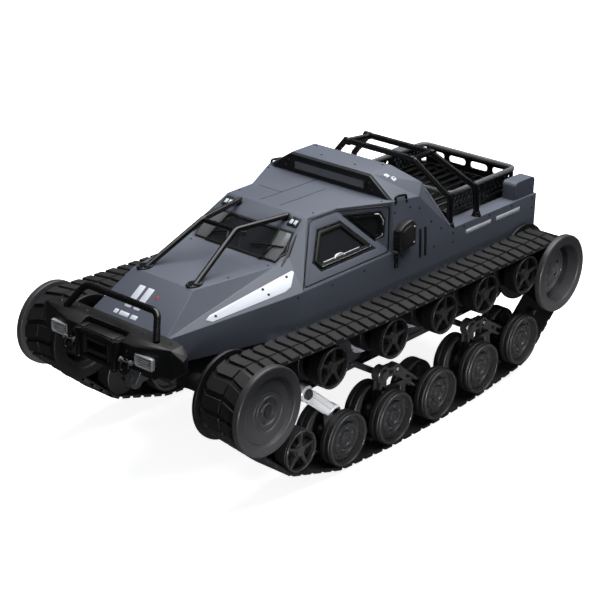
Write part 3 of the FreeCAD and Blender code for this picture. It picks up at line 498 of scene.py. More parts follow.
def belt_path():
    """Points (y, z, outward angle) around the belt's inner surface, and the length up to each."""
    circles = belt_circles()
    tangents = []
    for (y1, z1, r1), (y2, z2, r2) in zip(circles, circles[1:] + circles[:1]):
        heading = math.atan2(z2 - z1, y2 - y1)
        normal = heading + math.acos((r1 - r2) / math.hypot(y2 - y1, z2 - z1))
        tangents.append((y1 + r1 * math.cos(normal), z1 + r1 * math.sin(normal),
                         y2 + r2 * math.cos(normal), z2 + r2 * math.sin(normal), normal))
    raw = []
    for index, (y1, z1, y2, z2, normal) in enumerate(tangents):
        y, z, radius = circles[index]
        arriving = tangents[index - 1][4]
        turn = (arriving - normal + math.pi) % (2 * math.pi) - math.pi
        count = max(2, int(abs(turn) * abs(radius) / PATH_STEP))
        for share in range(count + 1):
            angle = arriving - turn * share / count
            raw.append((y + radius * math.cos(angle), z + radius * math.sin(angle), angle))
        length = math.hypot(y2 - y1, z2 - z1)
        for share in range(1, int(length / PATH_STEP)):
            along = share * PATH_STEP / length
            raw.append((y1 + (y2 - y1) * along, z1 + (z2 - z1) * along, normal))
    lengths = [0.0]
    for (y1, z1, _), (y2, z2, _) in zip(raw, raw[1:] + raw[:1]):
        lengths.append(lengths[-1] + math.hypot(y2 - y1, z2 - z1))
    return raw, lengths


BELT_RAW, BELT_LENGTHS = belt_path()
BELT_LENGTH = BELT_LENGTHS[-1]


def on_belt(along, x, height):
    """The point that lies a way along the belt and a height above its inner surface."""
    along %= BELT_LENGTH
    low, high = 0, len(BELT_RAW)
    while high - low > 1:
        middle = (low + high) // 2
        if BELT_LENGTHS[middle] <= along:
            low = middle
        else:
            high = middle
    y1, z1, a1 = BELT_RAW[low]
    y2, z2, a2 = BELT_RAW[(low + 1) % len(BELT_RAW)]
    share = (along - BELT_LENGTHS[low]) / max(BELT_LENGTHS[low + 1] - BELT_LENGTHS[low], 1e-6)
    turn = a1 + ((a2 - a1 + math.pi) % (2 * math.pi) - math.pi) * share
    return Vector((x, y1 + (y2 - y1) * share + height * math.cos(turn),
                   z1 + (z2 - z1) * share + height * math.sin(turn)))


def belt_pad(shape, outline, start, foot, top, coat, draft=0.45):
    """A raised pad with sloped sides: an outline of (x, along) points wrapped onto the belt."""
    middle_x = sum(x for x, _ in outline) / len(outline)
    middle_u = sum(u for _, u in outline) / len(outline)
    rings = []
    for height, inset in ((foot, 0.0), (top - draft, 0.12), (top, draft)):
        ring = []
        for x, u in outline:
            away = Vector((x - middle_x, u - middle_u))
            ring.append(on_belt(start + u - math.copysign(min(inset, abs(away.y)), away.y),
                                x - math.copysign(min(inset, abs(away.x)), away.x), height))
        rings.append(ring)
    shape.skin(rings, coat)


def belt():
    """A band with two rows of raised pads outside and a row of guide teeth inside."""
    count = round(BELT_LENGTH / TOOTH_PITCH)
    pitch = BELT_LENGTH / count
    shape = Shape()
    section = softened([(BELT_INNER_X, 0), (BELT_INNER_X, BAND_HEIGHT), (BELT_OUTER_X, BAND_HEIGHT),
                        (BELT_OUTER_X, 0)], 0.5, steps=2)
    steps = count * 6
    shape.skin([[on_belt(BELT_LENGTH * step / steps, x, height) for x, height in section]
                for step in range(steps)], loop=True)
    low, foot, top = 1.2, BAND_HEIGHT - 0.4, PAD_HEIGHT
    reach = pitch - PAD_GAP
    long_pad = softened([(88.2, low + 3.7), (92.0, low), (109.2, low), (109.2, reach), (92.0, reach),
                         (88.2, reach + 3.7)], 0.9, steps=2)
    outer_pad = softened([(110.3, low - 0.4), (126.7, low - 4.9), (126.7, reach - 4.9), (110.3, reach - 0.4)],
                         0.7, steps=2)
    tooth = rectangle(105.3, 3.2, 110.7, 8.6)
    for index in range(count):
        start = index * pitch
        belt_pad(shape, long_pad, start, foot, top, 1)
        belt_pad(shape, outer_pad, start, foot, top, 1)
        belt_pad(shape, tooth, start, 0.3, -2.9, 0, draft=-0.9)
    return shape


on_both_sides("track_{}", belt(), [TYRE, RUBBER], ["track_belt_{}"])


# ---- wheels

BORE_RADIUS = 3.1
FLANGE_RADIUS = 39.1
ROLLER_SPOKES = 5


def around(count, radius, start=0.0):
    """Evenly spaced (y, z) places on a circle."""
    for index in range(count):
        turn = start + 2 * math.pi * index / count
        yield radius * math.cos(turn), radius * math.sin(turn)


def road_wheel():
    """Two rubber-tyred discs on one axle; the outer disc is a deep-set hub plate with bolts."""
    shape = Shape()
    front = [(126.4, 2.4), (126.4, 3.8), (125.5, 4.2), (125.5, 5.2), (127.4, 5.7), (127.4, 7.2), (124.2, 7.8),
             (124.2, 12.7), (126.9, 13.3), (126.9, 14.8), (122.6, 15.6), (122.2, 20.6), (123.0, 21.2),
             (129.5, 21.9), (130.0, 22.3), (130.0, 23.9), (129.4, 24.5), (128.2, 24.6), (127.6, 24.2)]
    core = [(118.4, 24.2), (118.0, 20.0), (120.0, 19.0), (120.0, 8.5), (114.0, 7.0), (113.9, 3.0),
            (104.1, 3.0), (104.0, 7.0), (100.4, 9.0), (99.0, 20.0), (100.6, 24.2), (88.4, 24.2),
            (88.2, 21.6), (93.0, 20.6), (93.0, 8.5), (88.4, 7.8), (88.4, 3.4)]
    shape.lathe(front + core, edge=0.35)
    for low, high in ((117.2, 127.5), (88.0, 101.0)):
        tyre = [(low, 23.9), (low, 24.5), (low + 0.9, 25.3), ((low + high) / 2 - 0.8, 25.3),
                ((low + high) / 2, 24.7), ((low + high) / 2 + 0.8, 25.3), (high - 0.9, 25.3), (high, 24.5),
                (high, 23.9)]
        shape.lathe(tyre, coat=1, loop=True, edge=0.3)
    for y, z in around(6, 10.3, 0.3):
        shape.bolt((124.6, y, z), X_AXIS, 1.25, 1.0, 2)
    for y, z in around(10, 18.0):
        shape.lathe([(122.6, 0.9), (124.1, 0.9), (124.3, 0.6)], (0, y, z), count=10)
    return shape


def spoke(shape, turn, reach, face):
    """A tapered wheel spoke with a raised rib."""
    out = Vector((0, math.cos(turn), math.sin(turn)))
    side = Vector((0, -math.sin(turn), math.cos(turn)))
    for inner, outer, low, high in ((1.7, 1.1, -4.0, -1.5), (0.7, 0.45, -1.7, -0.9)):
        base = X_AXIS * (face + low)
        corners = [base + out * 4.5 + side * inner, base + out * reach + side * outer,
                   base + out * reach - side * outer, base + out * 4.5 - side * inner]
        shape.slab(corners, X_AXIS * (high - low), edge=0.3)


def roller(radius, face):
    """A spoked open face on a black drum, with a second disc inboard of the belt's guide teeth."""
    shape = Shape()
    rim = [(face - 0.5, radius - 2.1), (face, radius - 1.8), (face, radius - 0.5), (face - 0.5, radius),
           (face - 1.5, radius), (face - 1.9, radius - 0.6), (face - 5.0, radius - 0.6),
           (face - 5.0, radius - 2.1)]
    drum = [(face - 14.0, radius - 3.2), (face - 14.0, radius - 0.5), (face - 13.4, radius),
            (face - 2.7, radius), (face - 2.3, radius - 0.4), (face - 2.3, radius - 1.0),
            (face - 11.8, radius - 1.2), (face - 12.2, radius - 3.2)]
    web = [(face - 12.6, BORE_RADIUS), (face - 12.6, radius - 1.0), (face - 11.4, radius - 1.0),
           (face - 11.4, 7.2), (face - 4.0, 6.4), (face - 4.0, BORE_RADIUS)]
    hub = [(face - 6.0, BORE_RADIUS), (face - 6.0, 5.6), (face - 3.0, 6.2), (face - 2.2, 5.9),
           (face - 2.2, 5.1), (face - 3.4, 4.8), (face - 3.4, BORE_RADIUS)]
    inner = [(88.0, 6.0), (88.0, radius - 0.8), (88.8, radius), (101.6, radius), (102.4, radius - 0.8),
             (102.4, 6.0), (face - 12.0, 6.0), (face - 12.0, BORE_RADIUS), (88.0, BORE_RADIUS)]
    for profile, coat, edge in ((rim, 0, 0.3), (drum, 1, 0.3), (web, 1, 0.25), (hub, 0, 0.25),
                                (inner, 1, 0.3)):
        shape.lathe(profile, coat=coat, loop=True, edge=edge)
    for index in range(ROLLER_SPOKES):
        spoke(shape, math.radians(84) + 2 * math.pi * index / ROLLER_SPOKES, radius - 2.0, face)
    return shape


def drum_back(shape, hub_radius):
    """The belt's drum, its groove for the guide teeth, and the inner flange."""
    profile = [(127.3, 30.0), (127.3, DRUM_RADIUS), (113.0, DRUM_RADIUS), (113.0, 27.6), (103.0, 27.6),
               (103.0, DRUM_RADIUS), (86.7, DRUM_RADIUS), (86.7, FLANGE_RADIUS - 0.6),
               (86.1, FLANGE_RADIUS), (83.6, FLANGE_RADIUS), (83.0, FLANGE_RADIUS - 0.6), (83.0, 30.0),
               (85.4, 29.2), (85.4, 25.0), (88.0, 24.0), (101.0, 24.0), (101.0, hub_radius + 3),
               (83.6, hub_radius + 2), (83.2, hub_radius), (112.0, hub_radius), (112.0, 25.0)]
    shape.lathe(profile, coat=1, loop=True, count=72, edge=0.35)


def idler():
    """The front drum: a closed dished disc with a wide rim, rings and a bolted hub."""
    shape = Shape()
    face = [(130.2, BORE_RADIUS), (130.2, 5.0), (131.7, 5.5), (131.7, 7.0), (130.4, 7.5), (130.4, 11.0),
            (132.0, 11.5), (132.0, 13.2), (130.9, 13.8), (131.3, 16.6), (130.6, 17.0), (130.6, 17.6),
            (131.6, 18.0), (131.0, 26.0), (130.2, 27.4), (129.7, 28.2), (129.7, 29.0), (133.3, 29.8),
            (133.9, 30.6), (133.9, 37.9), (132.9, FLANGE_RADIUS), (128.0, FLANGE_RADIUS),
            (127.3, 38.4), (127.3, 30.4), (124.0, 30.0), (124.0, BORE_RADIUS)]
    shape.lathe(face, loop=True, count=96, edge=0.35)
    drum_back(shape, BORE_RADIUS + 2)
    sleeve = [(83.2, BORE_RADIUS), (83.2, 6.0), (124.5, 6.0), (124.5, BORE_RADIUS)]
    shape.lathe(sleeve, coat=1, loop=True, count=24)
    for y, z in around(5, 9.3, 0.5):
        shape.bolt((130.3, y, z), X_AXIS, 1.3, 1.0, 2)
    return shape


def sprocket():
    """The rear drum: a wide open rim around a deep dish with a bolted plate at its bottom."""
    shape = Shape()
    face = [(116.0, 4.0), (118.6, 4.4), (118.6, 6.6), (117.0, 7.2), (117.0, 11.0), (118.6, 11.6),
            (118.6, 13.0), (116.2, 13.6), (116.2, 22.0), (118.6, 22.8), (118.6, 24.2), (116.0, 25.0),
            (115.6, 28.0), (133.0, 28.8), (133.9, 29.6), (133.9, 37.9), (132.9, FLANGE_RADIUS),
            (128.0, FLANGE_RADIUS), (127.3, 38.4), (127.3, 30.8), (114.0, 30.2), (113.4, 27.0),
            (113.4, 4.4)]
    shape.lathe(face, count=96, edge=0.35)
    drum_back(shape, 5)
    shape.lathe([(55.8, 3.4), (56.2, 4.0), (114.0, 4.0), (114.0, 3.0)], coat=2, count=24)
    for y, z in around(8, 17.8, 0.2):
        shape.bolt((116.2, y, z), X_AXIS, 1.6, 1.2, 2)
    for y, z in around(6, 8.9):
        shape.bolt((117.0, y, z), X_AXIS, 1.0, 0.9, 2)
    return shape


def wheels():
    """Every wheel of both sides, each turning with its own body."""
    _, _, roller_radius = hub_of("return_roller_1_left")
    _, _, guide_radius = hub_of("guide_wheel_left")
    roller_face = spot("return_roller_1_left")[1].x
    guide_face = spot("guide_wheel_left")[1].x
    kinds = [("front_idler", "idler", idler(), [DRUM, TRIM, WHEEL]),
             ("drive_sprocket", "sprocket", sprocket(), [DRUM, TRIM, WHEEL]),
             ("guide_wheel", "guide_wheel", roller(guide_radius, guide_face), [WHEEL, TYRE])]
    turned, rolled = road_wheel(), roller(roller_radius, roller_face)
    for station in STATIONS:
        kinds.append((f"road_wheel_{station}", f"road_wheel_{station}", turned, [WHEEL, TYRE, DRUM]))
        kinds.append((f"return_roller_{station}", f"roller_{station}", rolled, [WHEEL, TYRE]))
    for node, body, shape, finishes in kinds:
        y, z, _ = hub_of(f"{node}_left")
        on_both_sides(node + "_{}_wheel", shape, finishes, [node + "_{}"], body + "_{}",
                      Vector((0, y, z)))


wheels()


# ---- suspension arms

ARM_INNER_X, ARM_OUTER_X = 104.5, 113.5
BOGIE_RISE = 38.0


def hull_of_circles(first, second, count=14):
    """The outline of a belt around two (y, z, radius) circles."""
    (y1, z1, r1), (y2, z2, r2) = first, second
    heading = math.atan2(z2 - z1, y2 - y1)
    lean = math.acos((r1 - r2) / math.hypot(y2 - y1, z2 - z1))
    outline = []
    for y, z, radius, start, end in ((y1, z1, r1, heading + lean, heading + 2 * math.pi - lean),
                                     (y2, z2, r2, heading - lean, heading + lean)):
        for step in range(count + 1):
            turn = start + (end - start) * step / count
            outline.append((y + radius * math.cos(turn), z + radius * math.sin(turn)))
    return outline


def slot_between(first, second, start, end, half_width):
    """A long window along the line between two (y, z) points, as shares of its length."""
    a, b = Vector(first), Vector(second)
    along = (b - a).normalized()
    side = Vector((-along.y, along.x)) * half_width
    low, high = a.lerp(b, start), a.lerp(b, end)
    return softened([low + side, high + side, high - side, low - side], half_width * 0.8)


def eye(shape, y, z, radius=7.5, bore=BORE_RADIUS):
    """A round eye with a stepped rim around a bore."""
    low, high = ARM_INNER_X, ARM_OUTER_X
    profile = [(low, bore), (low, radius - 0.6), (low + 0.6, radius), (high - 0.6, radius),
               (high, radius - 0.6), (high, radius - 2.0), (high - 0.9, radius - 2.5),
               (high - 0.9, bore + 1.2), (high - 0.2, bore + 0.9), (high - 0.2, bore)]
    shape.lathe(profile, (0, y, z), loop=True, count=36)


def link(shape, first, second, width, window=True):
    """Two side plates and a web between two (y, z) points of an arm."""
    outline = hull_of_circles((*first, width / 2), (*second, width / 2))
    holes = [slot_between(first, second, 0.3, 0.72, width * 0.2)] if window else []
    for x in (ARM_INNER_X + 1.2, ARM_OUTER_X - 1.4):
        shape.plate([outline] + holes, 2.4, from_side(x), edge=0.35)
    slim = hull_of_circles((*first, width / 2 - 1.2), (*second, width / 2 - 1.2))
    shape.plate([slim] + holes, ARM_OUTER_X - ARM_INNER_X - 3.2,
                from_side((ARM_INNER_X + ARM_OUTER_X) / 2), edge=0.2)


def front_arm():
    """The bare-metal front arm: a ribbed bar to a ring eye, and a link down to the first wheel."""
    shape = Shape()
    axle = hub_of("road_wheel_1_left")[:2]
    pivot, knee = (-130.0, 86.0), (-91.2, 54.0)
    link(shape, pivot, knee, 11, window=False)
    for offset in (-4.6, 0.0, 4.6):
        along = (Vector(knee) - Vector(pivot)).normalized()
        side = Vector((-along.y, along.x)) * offset
        start, end = Vector(pivot) + along * 6 + side, Vector(knee) - along * 8 + side
        shape.tube([(ARM_OUTER_X - 1.0, *start), (ARM_OUTER_X - 1.0, *end)], 1.3, 1)
    brace = [(pivot[0] + 4, pivot[1] - 8), (pivot[0] + 18, pivot[1] - 8), (knee[0] - 6, knee[1] + 13),
             (knee[0] - 14, knee[1] + 6)]
    shape.plate([softened(brace, 2)], 10, from_side(99.0), edge=0.5)
    link(shape, knee, axle, 9)
    eye(shape, *pivot)
    eye(shape, *knee, radius=7.2, bore=3.6)
    eye(shape, *axle, radius=6.8)
    flare = softened([(knee[0] - 7, knee[1] + 3), (knee[0] + 5, knee[1] + 2), (knee[0] + 3, knee[1] - 13),
                      (knee[0] - 6, knee[1] - 14)], 2)
    shape.plate([flare], 7.0, from_side(108.5), edge=0.6)
    for dy, dz in ((-3.0, -8.5), (0.5, -11.0)):
        shape.bolt((112.0, knee[0] + dy, knee[1] + dz), X_AXIS, 1.2, 1.0, 1)
    return shape


def bogie_arm(lead_wheel, trail_wheel):
    """A ring pivot above the leading wheel, with a strut down to it and a bent strut to the trailing one."""
    shape = Shape()
    lead, trail = hub_of(lead_wheel)[:2], hub_of(trail_wheel)[:2]
    pivot = (lead[0], lead[1] + BOGIE_RISE)
    elbow = (pivot[0] + 20, pivot[1] - 1)
    link(shape, pivot, lead, 9)
    link(shape, pivot, elbow, 9)
    link(shape, elbow, trail, 9)
    tie = ((lead[0] + pivot[0]) / 2 + 1, (lead[1] + pivot[1]) / 2)
    middle = ((elbow[0] + trail[0]) / 2, (elbow[1] + trail[1]) / 2)
    shape.plate([hull_of_circles((*tie, 2.6), (*middle, 2.6))], 4.0, from_side(109.0), edge=0.5)
    eye(shape, *pivot, radius=8.0)
    eye(shape, *elbow, radius=5.2, bore=0.8)
    eye(shape, *lead, radius=6.8)
    eye(shape, *trail, radius=6.8)
    for y, z in (elbow, tie):
        shape.bolt((ARM_OUTER_X - 1.0, y, z), X_AXIS, 1.9, 1.5, 1)
    return shape


def arms():
    """The front arms and both pairs of bogie arms, each on its own body."""
    middle, rear = (bogie_arm(f"road_wheel_{lead}_left", f"road_wheel_{lead + 1}_left") for lead in (2, 4))
    for name, shape, finishes, slot in (("front_arm", front_arm(), [ALLOY, STEEL], "bare_alloy"),
                                        ("bogie_arm_mid", middle, [WHEEL, STEEL], "arm_plastic"),
                                        ("bogie_arm_rear", rear, [WHEEL, STEEL], "arm_plastic")):
        on_both_sides(name + "_{}_link", shape, finishes, [name + "_{}"], name + "_{}")


arms()


# ---- drawing on the body's surface


def tree_of(*names):
    """A tree of nodes' faces, in millimetres, to cast rays at."""
    verts, polygons = [], []
    for name in names:
        source = nodes[name]
        start = len(verts)
        verts += [source.matrix_world @ vert.co / MM for vert in source.data.vertices]
        polygons += [[start + index for index in face.vertices] for face in source.data.polygons]
    return BVHTree.FromPolygons(verts, polygons)


BODY_TREE = tree_of("body_shell", "door_left", "door_right")
PANE_TREE = tree_of("window_panes")


FAR = 400  # outside the vehicle on every side


def on_surface(start, direction):
    """Where a ray meets the body, with the panes filled up to its surface, and the normal there."""
    start, direction = Vector(start), Vector(direction)
    best = None
    for tree, depth in ((BODY_TREE, 0.0), (PANE_TREE, PANE_DEPTH)):
        point, normal, _, distance = tree.ray_cast(start, direction)
        if point is not None and (best is None or distance < best[0]):
            normal = -normal if normal.dot(direction) > 0 else normal
            best = (distance, point + normal * depth, normal)
    return best[1], best[2]


def from_left(y, z):
    """The body's surface as seen from the left."""
    return on_surface((FAR, y, z), -X_AXIS)


def from_above(x, y):
    """The body's surface as seen from above."""
    return on_surface((x, y, FAR), -Z_AXIS)


def from_front(x, z):
    """The body's surface as seen from the front."""
    return on_surface((x, -FAR, z), Y_AXIS)


def inset(outline, amount):
    """A convex outline moved inward by an amount."""
    points = [Vector(point) for point in outline]
    area = sum(a.x * b.y - a.y * b.x for a, b in zip(points, points[1:] + points[:1]))
    inward = math.copysign(amount, area)
    moved = []
    for index, point in enumerate(points):
        arriving = (point - points[index - 1]).normalized()
        leaving = (points[(index + 1) % len(points)] - point).normalized()
        first, second = Vector((-arriving.y, arriving.x)), Vector((-leaving.y, leaving.x))
        moved.append(point + (first + second) * (inward / (1 + first.dot(second))))
    return moved


def dense(points, step=3.0, closed=True):
    """The same outline with points at most a step apart."""
    points = [Vector(point) for point in points]
    spaced = []
    for first, second in zip(points, points[1:] + (points[:1] if closed else [])):
        count = max(1, math.ceil((second - first).length / step))
        spaced += [first.lerp(second, index / count) for index in range(count)]
    return spaced if closed else spaced + [points[-1]]


def framed(shape, outline, width, low, high, look, coat=0, corner=1.5):
    """A frame that follows the surface, from an outline inward, between two heights."""
    outer = softened(outline, corner, steps=3)
    inner = inset(outer, width)
    rings = []
    for index in range(len(outer)):
        ahead = (index + 1) % len(outer)
        count = max(1, math.ceil((outer[ahead] - outer[index]).length / 4))
        for step in range(count):
            share = step / count
            out_point, out_normal = look(*outer[index].lerp(outer[ahead], share))
            in_point, in_normal = look(*inner[index].lerp(inner[ahead], share))
            top_out, top_in = out_point + out_normal * high, in_point + in_normal * high
            rings.append([
                out_point + out_normal * low, out_point + out_normal * (high - 0.25),
                top_out.lerp(top_in, 0.18), top_out.lerp(top_in, 0.82),
                in_point + in_normal * (high - 0.25), in_point + in_normal * low,
            ])
    shape.skin(rings, coat, loop=True)


def bead(shape, outline, radius, sink, look, coat=0, closed=True):
    """A thin round line that follows the surface."""
    path = []
    for spot_on_plane in dense(outline, 3.0, closed):
        point, normal = look(*spot_on_plane)
        path.append(point - normal * sink)
    shape.tube(path, radius, 0.4, coat, closed, count=8, steps=1)


def ribbon(shape, path, width, look, height=0.25, coat=0):
    """A flat strip laid on the surface along a path."""
    points = dense(path, 3.0, closed=False)
    spots = [look(*point) for point in points]
    rings = []
    for index, (point, normal) in enumerate(spots):
        before, after = spots[max(index - 1, 0)][0], spots[min(index + 1, len(spots) - 1)][0]
        side = normal.cross((after - before).normalized()).normalized() * (width / 2)
        rings.append([point - side - normal * 0.3, point - side + normal * (height - 0.1),
                      point - side * 0.94 + normal * height, point + side * 0.94 + normal * height,
                      point + side + normal * (height - 0.1), point + side - normal * 0.3])
    shape.skin(rings, coat)


def sheet(shape, outline, look, height=0.25, coat=0, corner=1.0):
    """A thin sheet on one flat face of the body."""
    rounded = softened(outline, corner, steps=2) if corner else [Vector(p) for p in outline]
    spots = [look(*point) for point in rounded]
    normal = sum((n for _, n in spots), Vector()).normalized()
    shape.slab([point - normal * 0.4 for point, _ in spots], normal * (height + 0.4), coat, 0.12)


def screws(shape, places, look, radius, height, coat):
    """Screw heads that stand on the surface."""
    for place in places:
        point, normal = look(*place)
        shape.bolt(point, normal, radius, height, coat)


# ---- windows, doors and markings

DOOR = [(-96.5, 163), (-56.5, 206.3), (-23.6, 206.6), (24.6, 205.6), (23, 162.5)]
FRONT_WINDOW = [(-68.5, 168.5), (-75, 177.5), (-53.5, 199), (-22.5, 199), (8.5, 168.5)]
REAR_WINDOW = [(10.5, 173.5), (-17, 202), (16.8, 201.3), (21.2, 193), (19.8, 176.5)]
SCREEN = [(-48.5, -100.5), (48.5, -100.5), (52, -89.5), (45.5, -73), (-45.5, -73), (-52, -89.5)]


def side_glazing():
    """Black window frames with a bright sill and latch inside, and the dark line around each door."""
    shape = Shape()
    for window in (FRONT_WINDOW, REAR_WINDOW):
        framed(shape, inset(window, -2.4), 2.7, -0.4, 0.9, from_left)
        framed(shape, inset(window, 0.4), 1.1, -0.9, -0.1, from_left, 1, corner=1.0)
        screws(shape, dense(inset(window, -1.1), 11.0), from_left, 0.55, 1.15, 1)
    bead(shape, [(-66.0, 171.6), (2.5, 171.6)], 0.85, -0.1, from_left, 2, closed=False)
    bead(shape, [(-62.0, 174.4), (-12.0, 174.4)], 0.4, -0.1, from_left, 2, closed=False)
    for path, radius, bend in ((((-47, 173.2), (-44, 175.6), (-37, 175.8), (-33, 173.4)), 0.9, 2),
                               (((11.5, 199.2), (15.7, 198.9), (19.0, 192.5), (18.9, 188)), 0.7, 1),
                               (((18.0, 180.5), (17.8, 178.4), (12.5, 175.9)), 0.7, 1)):
        shape.tube([from_left(y, z)[0] for y, z in path], radius, bend, 2, count=10)
    bead(shape, softened(inset(DOOR, 0.2), 4), 0.62, 0.15, from_left)
    on_both_sides("window_frames_{}", shape, [TRIM, WHEEL, ALLOY])


def windscreen():
    """The screen's surround, its side panes, pillars, corner plates and wipers."""
    shape = Shape()
    framed(shape, inset(SCREEN, -0.6), 1.2, -0.7, 0.25, from_above, corner=1.0)
    sheet(shape, rectangle(-34.2, -101.4, 34.2, -98.6), from_above, 0.15, 4, corner=0.5)
    for sign in (1, -1):
        strip = [(sign * 35.4, -99.8), (sign * 47.6, -99.8), (sign * 48.2, -90.0), (sign * 44.6, -73.8),
                 (sign * 30.6, -73.8)]
        sheet(shape, strip, from_above, 0.15, 1, corner=0.5)
        corner_plate = [(sign * 33.5, -69.3), (sign * 45.3, -69.3), (sign * 44.6, -61.2),
                        (sign * 33.5, -61.2)]
        sheet(shape, corner_plate, from_above, 0.7, 0, corner=1.2)
        for x in (36.6, 41.3):
            mark = rectangle(sign * (x - 1.6), -67.4, sign * (x + 1.6), -63.8)
            sheet(shape, mark, from_above, 1.1, 2, corner=0.4)
        screws(shape, [(sign * 34.9, -62.6), (sign * 43.3, -68.1)], from_above, 0.8, 1.4, 3)
        divider = [(sign * 34.4, -101.2), (sign * 29.2, -72.0)]
        bead(shape, divider, 0.75, 0.1, from_above, closed=False)
    side_pane = Shape()
    sheet(side_pane, [(-100.9, 178.0), (-88.2, 184.0), (-74.2, 197.6)], from_left, 0.15, 0, corner=1.5)
    rim = softened([(-100.6, 177.8), (-88.0, 183.6), (-73.4, 198.0)], 1, closed=False)
    bead(side_pane, rim, 0.5, 0.0, from_left, 1, closed=False)
    for wiper in (((31.5, -99.8), (36.0, -89.5), (13.0, -92.5), (47.0, -86.5)),
                  ((-10.0, -99.8), (-16.0, -89.0), (-33.0, -93.0), (1.0, -85.0))):
        foot, normal = from_above(*wiper[0])
        elbow = from_above(*wiper[1])[0] + normal * 1.8
        shape.tube([foot + normal * 1.2, foot.lerp(elbow, 0.5) + normal * 1.2, elbow], 0.75, 3, count=8)
        shape.lathe([(-0.4, 2.0), (1.2, 2.0), (2.2, 1.2)], foot, normal, count=16)
        ends = [from_above(*end)[0] + normal * 0.9 for end in wiper[2:]]
        shape.tube([ends[0], ends[0].lerp(ends[1], 0.5) + normal * 0.2, ends[1]], 0.65, 5, count=8)
        shape.tube([ends[0].lerp(ends[1], 0.2) + normal * 0.7, ends[0].lerp(ends[1], 0.8) + normal * 0.7],
                   0.45, 1, count=6)
    piece("windscreen_trim", shape, [TRIM, SIDE_GLASS, PALE, STEEL, TYRE])
    on_both_sides("quarter_pane_{}", side_pane, [SIDE_GLASS, TRIM])


def plain_marks():
    """Plain blocks and stripes, roof seams, edge strips and the screws of the panels."""
    shape = Shape()
    for low, high in ((-16.5, -9.5), (-6.0, 1.0)):
        sheet(shape, rectangle(low, 156.4, high, 169.8), from_front, 0.2, 0, 0.6)
    for low, high in ((-22.5, -18.0), (-16.0, -5.0), (-2.5, 4.5)):
        sheet(shape, rectangle(low, 151.2, high, 153.6), from_front, 0.2, 0, 0.4)
    sheet(shape, ring_outline(1.3, 12, (8.5, 166.3)), from_front, 0.2, 2, 0)
    for x in (-13.4, 9.6):
        bead(shape, [(x, -52), (x, 12 if x > 0 else 25)], 0.45, 0.12, from_above, 1, closed=False)
    bead(shape, [(-41, -23), (-13.4, -23)], 0.4, 0.12, from_above, 1, closed=False)
    for x, y in ((51.5, 42.5), (56.0, 47.5)):
        sheet(shape, [(x, y), (x + 3.2, y + 1.2), (x + 3.2, y + 5.4), (x, y + 4.2)], from_above, 0.2, 0, 0.4)
    decal = Shape()
    outline = [(-189.5, 154.6), (-185.7, 152.9), (-112.6, 162.6), (-105.5, 164.9), (-94.2, 173.3),
               (-95.0, 174.4), (-184.0, 156.9)]
    sheet(decal, outline, from_left, 0.3, 0, 0.8)
    screws(decal, [(-103.0, 171.2), (-128.9, 166.3), (-127.6, 162.6), (-179.9, 155.8)], from_left,
           1.25, 0.85, 1)
    for y in (67.0, 74.5):
        ribbon(decal, [(y, 145), (y, 173)], 3.4, from_left, 0.2, 1)
    for y1, y2 in ((138, 179), (188, 228)):
        ribbon(decal, [(y1, 151.0), (y2, 151.0)], 4.6, from_left, 0.2, 0)
    ribbon(decal, [(28.5, 151.3), (34.0, 151.3)], 12.5, from_left, 0.5, 1)
    screws(decal, [(31.2, 155.3), (31.2, 147.3)], from_left, 0.7, 1.0, 2)
    ribbon(decal, [(80.5, 206.5), (111.0, 165.0)], 2.2, from_left, 0.35, 3)
    screws(decal, [(29.5, 198), (52.5, 197.5), (66.5, 193.0), (83.5, 176.0), (98.0, 165.5), (116.5, 156.0),
                   (116.5, 147.0), (134, 158.0), (176, 158.0), (214, 158.0), (250, 157.0), (250, 147.0),
                   (88.0, 150.0), (-104.5, 157.0), (-60, 155.5), (-15, 155.5), (40, 154.0)],
           from_left, 0.95, 0.55, 1)
    screws(shape, [(sign * x, y) for sign in (1, -1) for x, y in
                   ((31.0, -185.5), (46.0, -107.0), (40.0, -150.0), (20.0, 40.0), (40.0, 56.0), (44.0, -46.0),
                    (68.0, 20.0))],
           from_above, 0.95, 0.55, 1)
    piece("front_and_roof_marks", shape, [PALE, TRIM, RED_MARK])
    on_both_sides("side_marks_{}", decal, [PALE, TRIM, STEEL, EDGE_PAINT])


side_glazing()
windscreen()
plain_marks()


# ---- lamps, intakes and roof loops


def brow_lamp():
    """A row of bright cells behind the brow lamp's lens, in a stepped black surround."""
    shape = Shape()
    shape.block((-43.4, 30.6, 212.8), (43.4, 34.5, 221.2), 1, 0.3)
    count, width = 12, 6.6
    for index in range(count):
        x = (index - (count - 1) / 2) * (width + 0.3)
        rim = rectangle(x - width / 2, 213.7, x + width / 2, 220.3)
        outer = [Vector((px, 28.6, pz)) for px, pz in rim]
        inner = [Vector((px, 30.8, pz)) for px, pz in rectangle(x - width / 4, 215.6, x + width / 4, 218.4)]
        back = [(px, 31.2, pz) for px, pz in rim]
        shape.skin([back, outer, [a.lerp(b, 0.06) for a, b in zip(outer, inner)], inner], 0)
    for z in (214.9, 219.1):
        shape.block((-42.2, 27.6, z - 0.35), (42.2, 28.5, z + 0.35), 1, 0.15)
    shape.plate([softened(rectangle(-44.8, 211.8, 44.8, 222.2), 1),
                 softened(rectangle(-42.0, 213.2, 42.0, 220.8), 1)],
                1.6, upright(0, 26.6, 0), 1, 0.3)
    for sign in (1, -1):
        for x, z in ((52.0, 214.5), (48.5, 220.5)):
            shape.bolt((sign * x, 26.6, z), -Y_AXIS, 1.3, 0.8, 2)
    piece("brow_lamp_cells", shape, [WHEEL, TRIM, WHEEL])


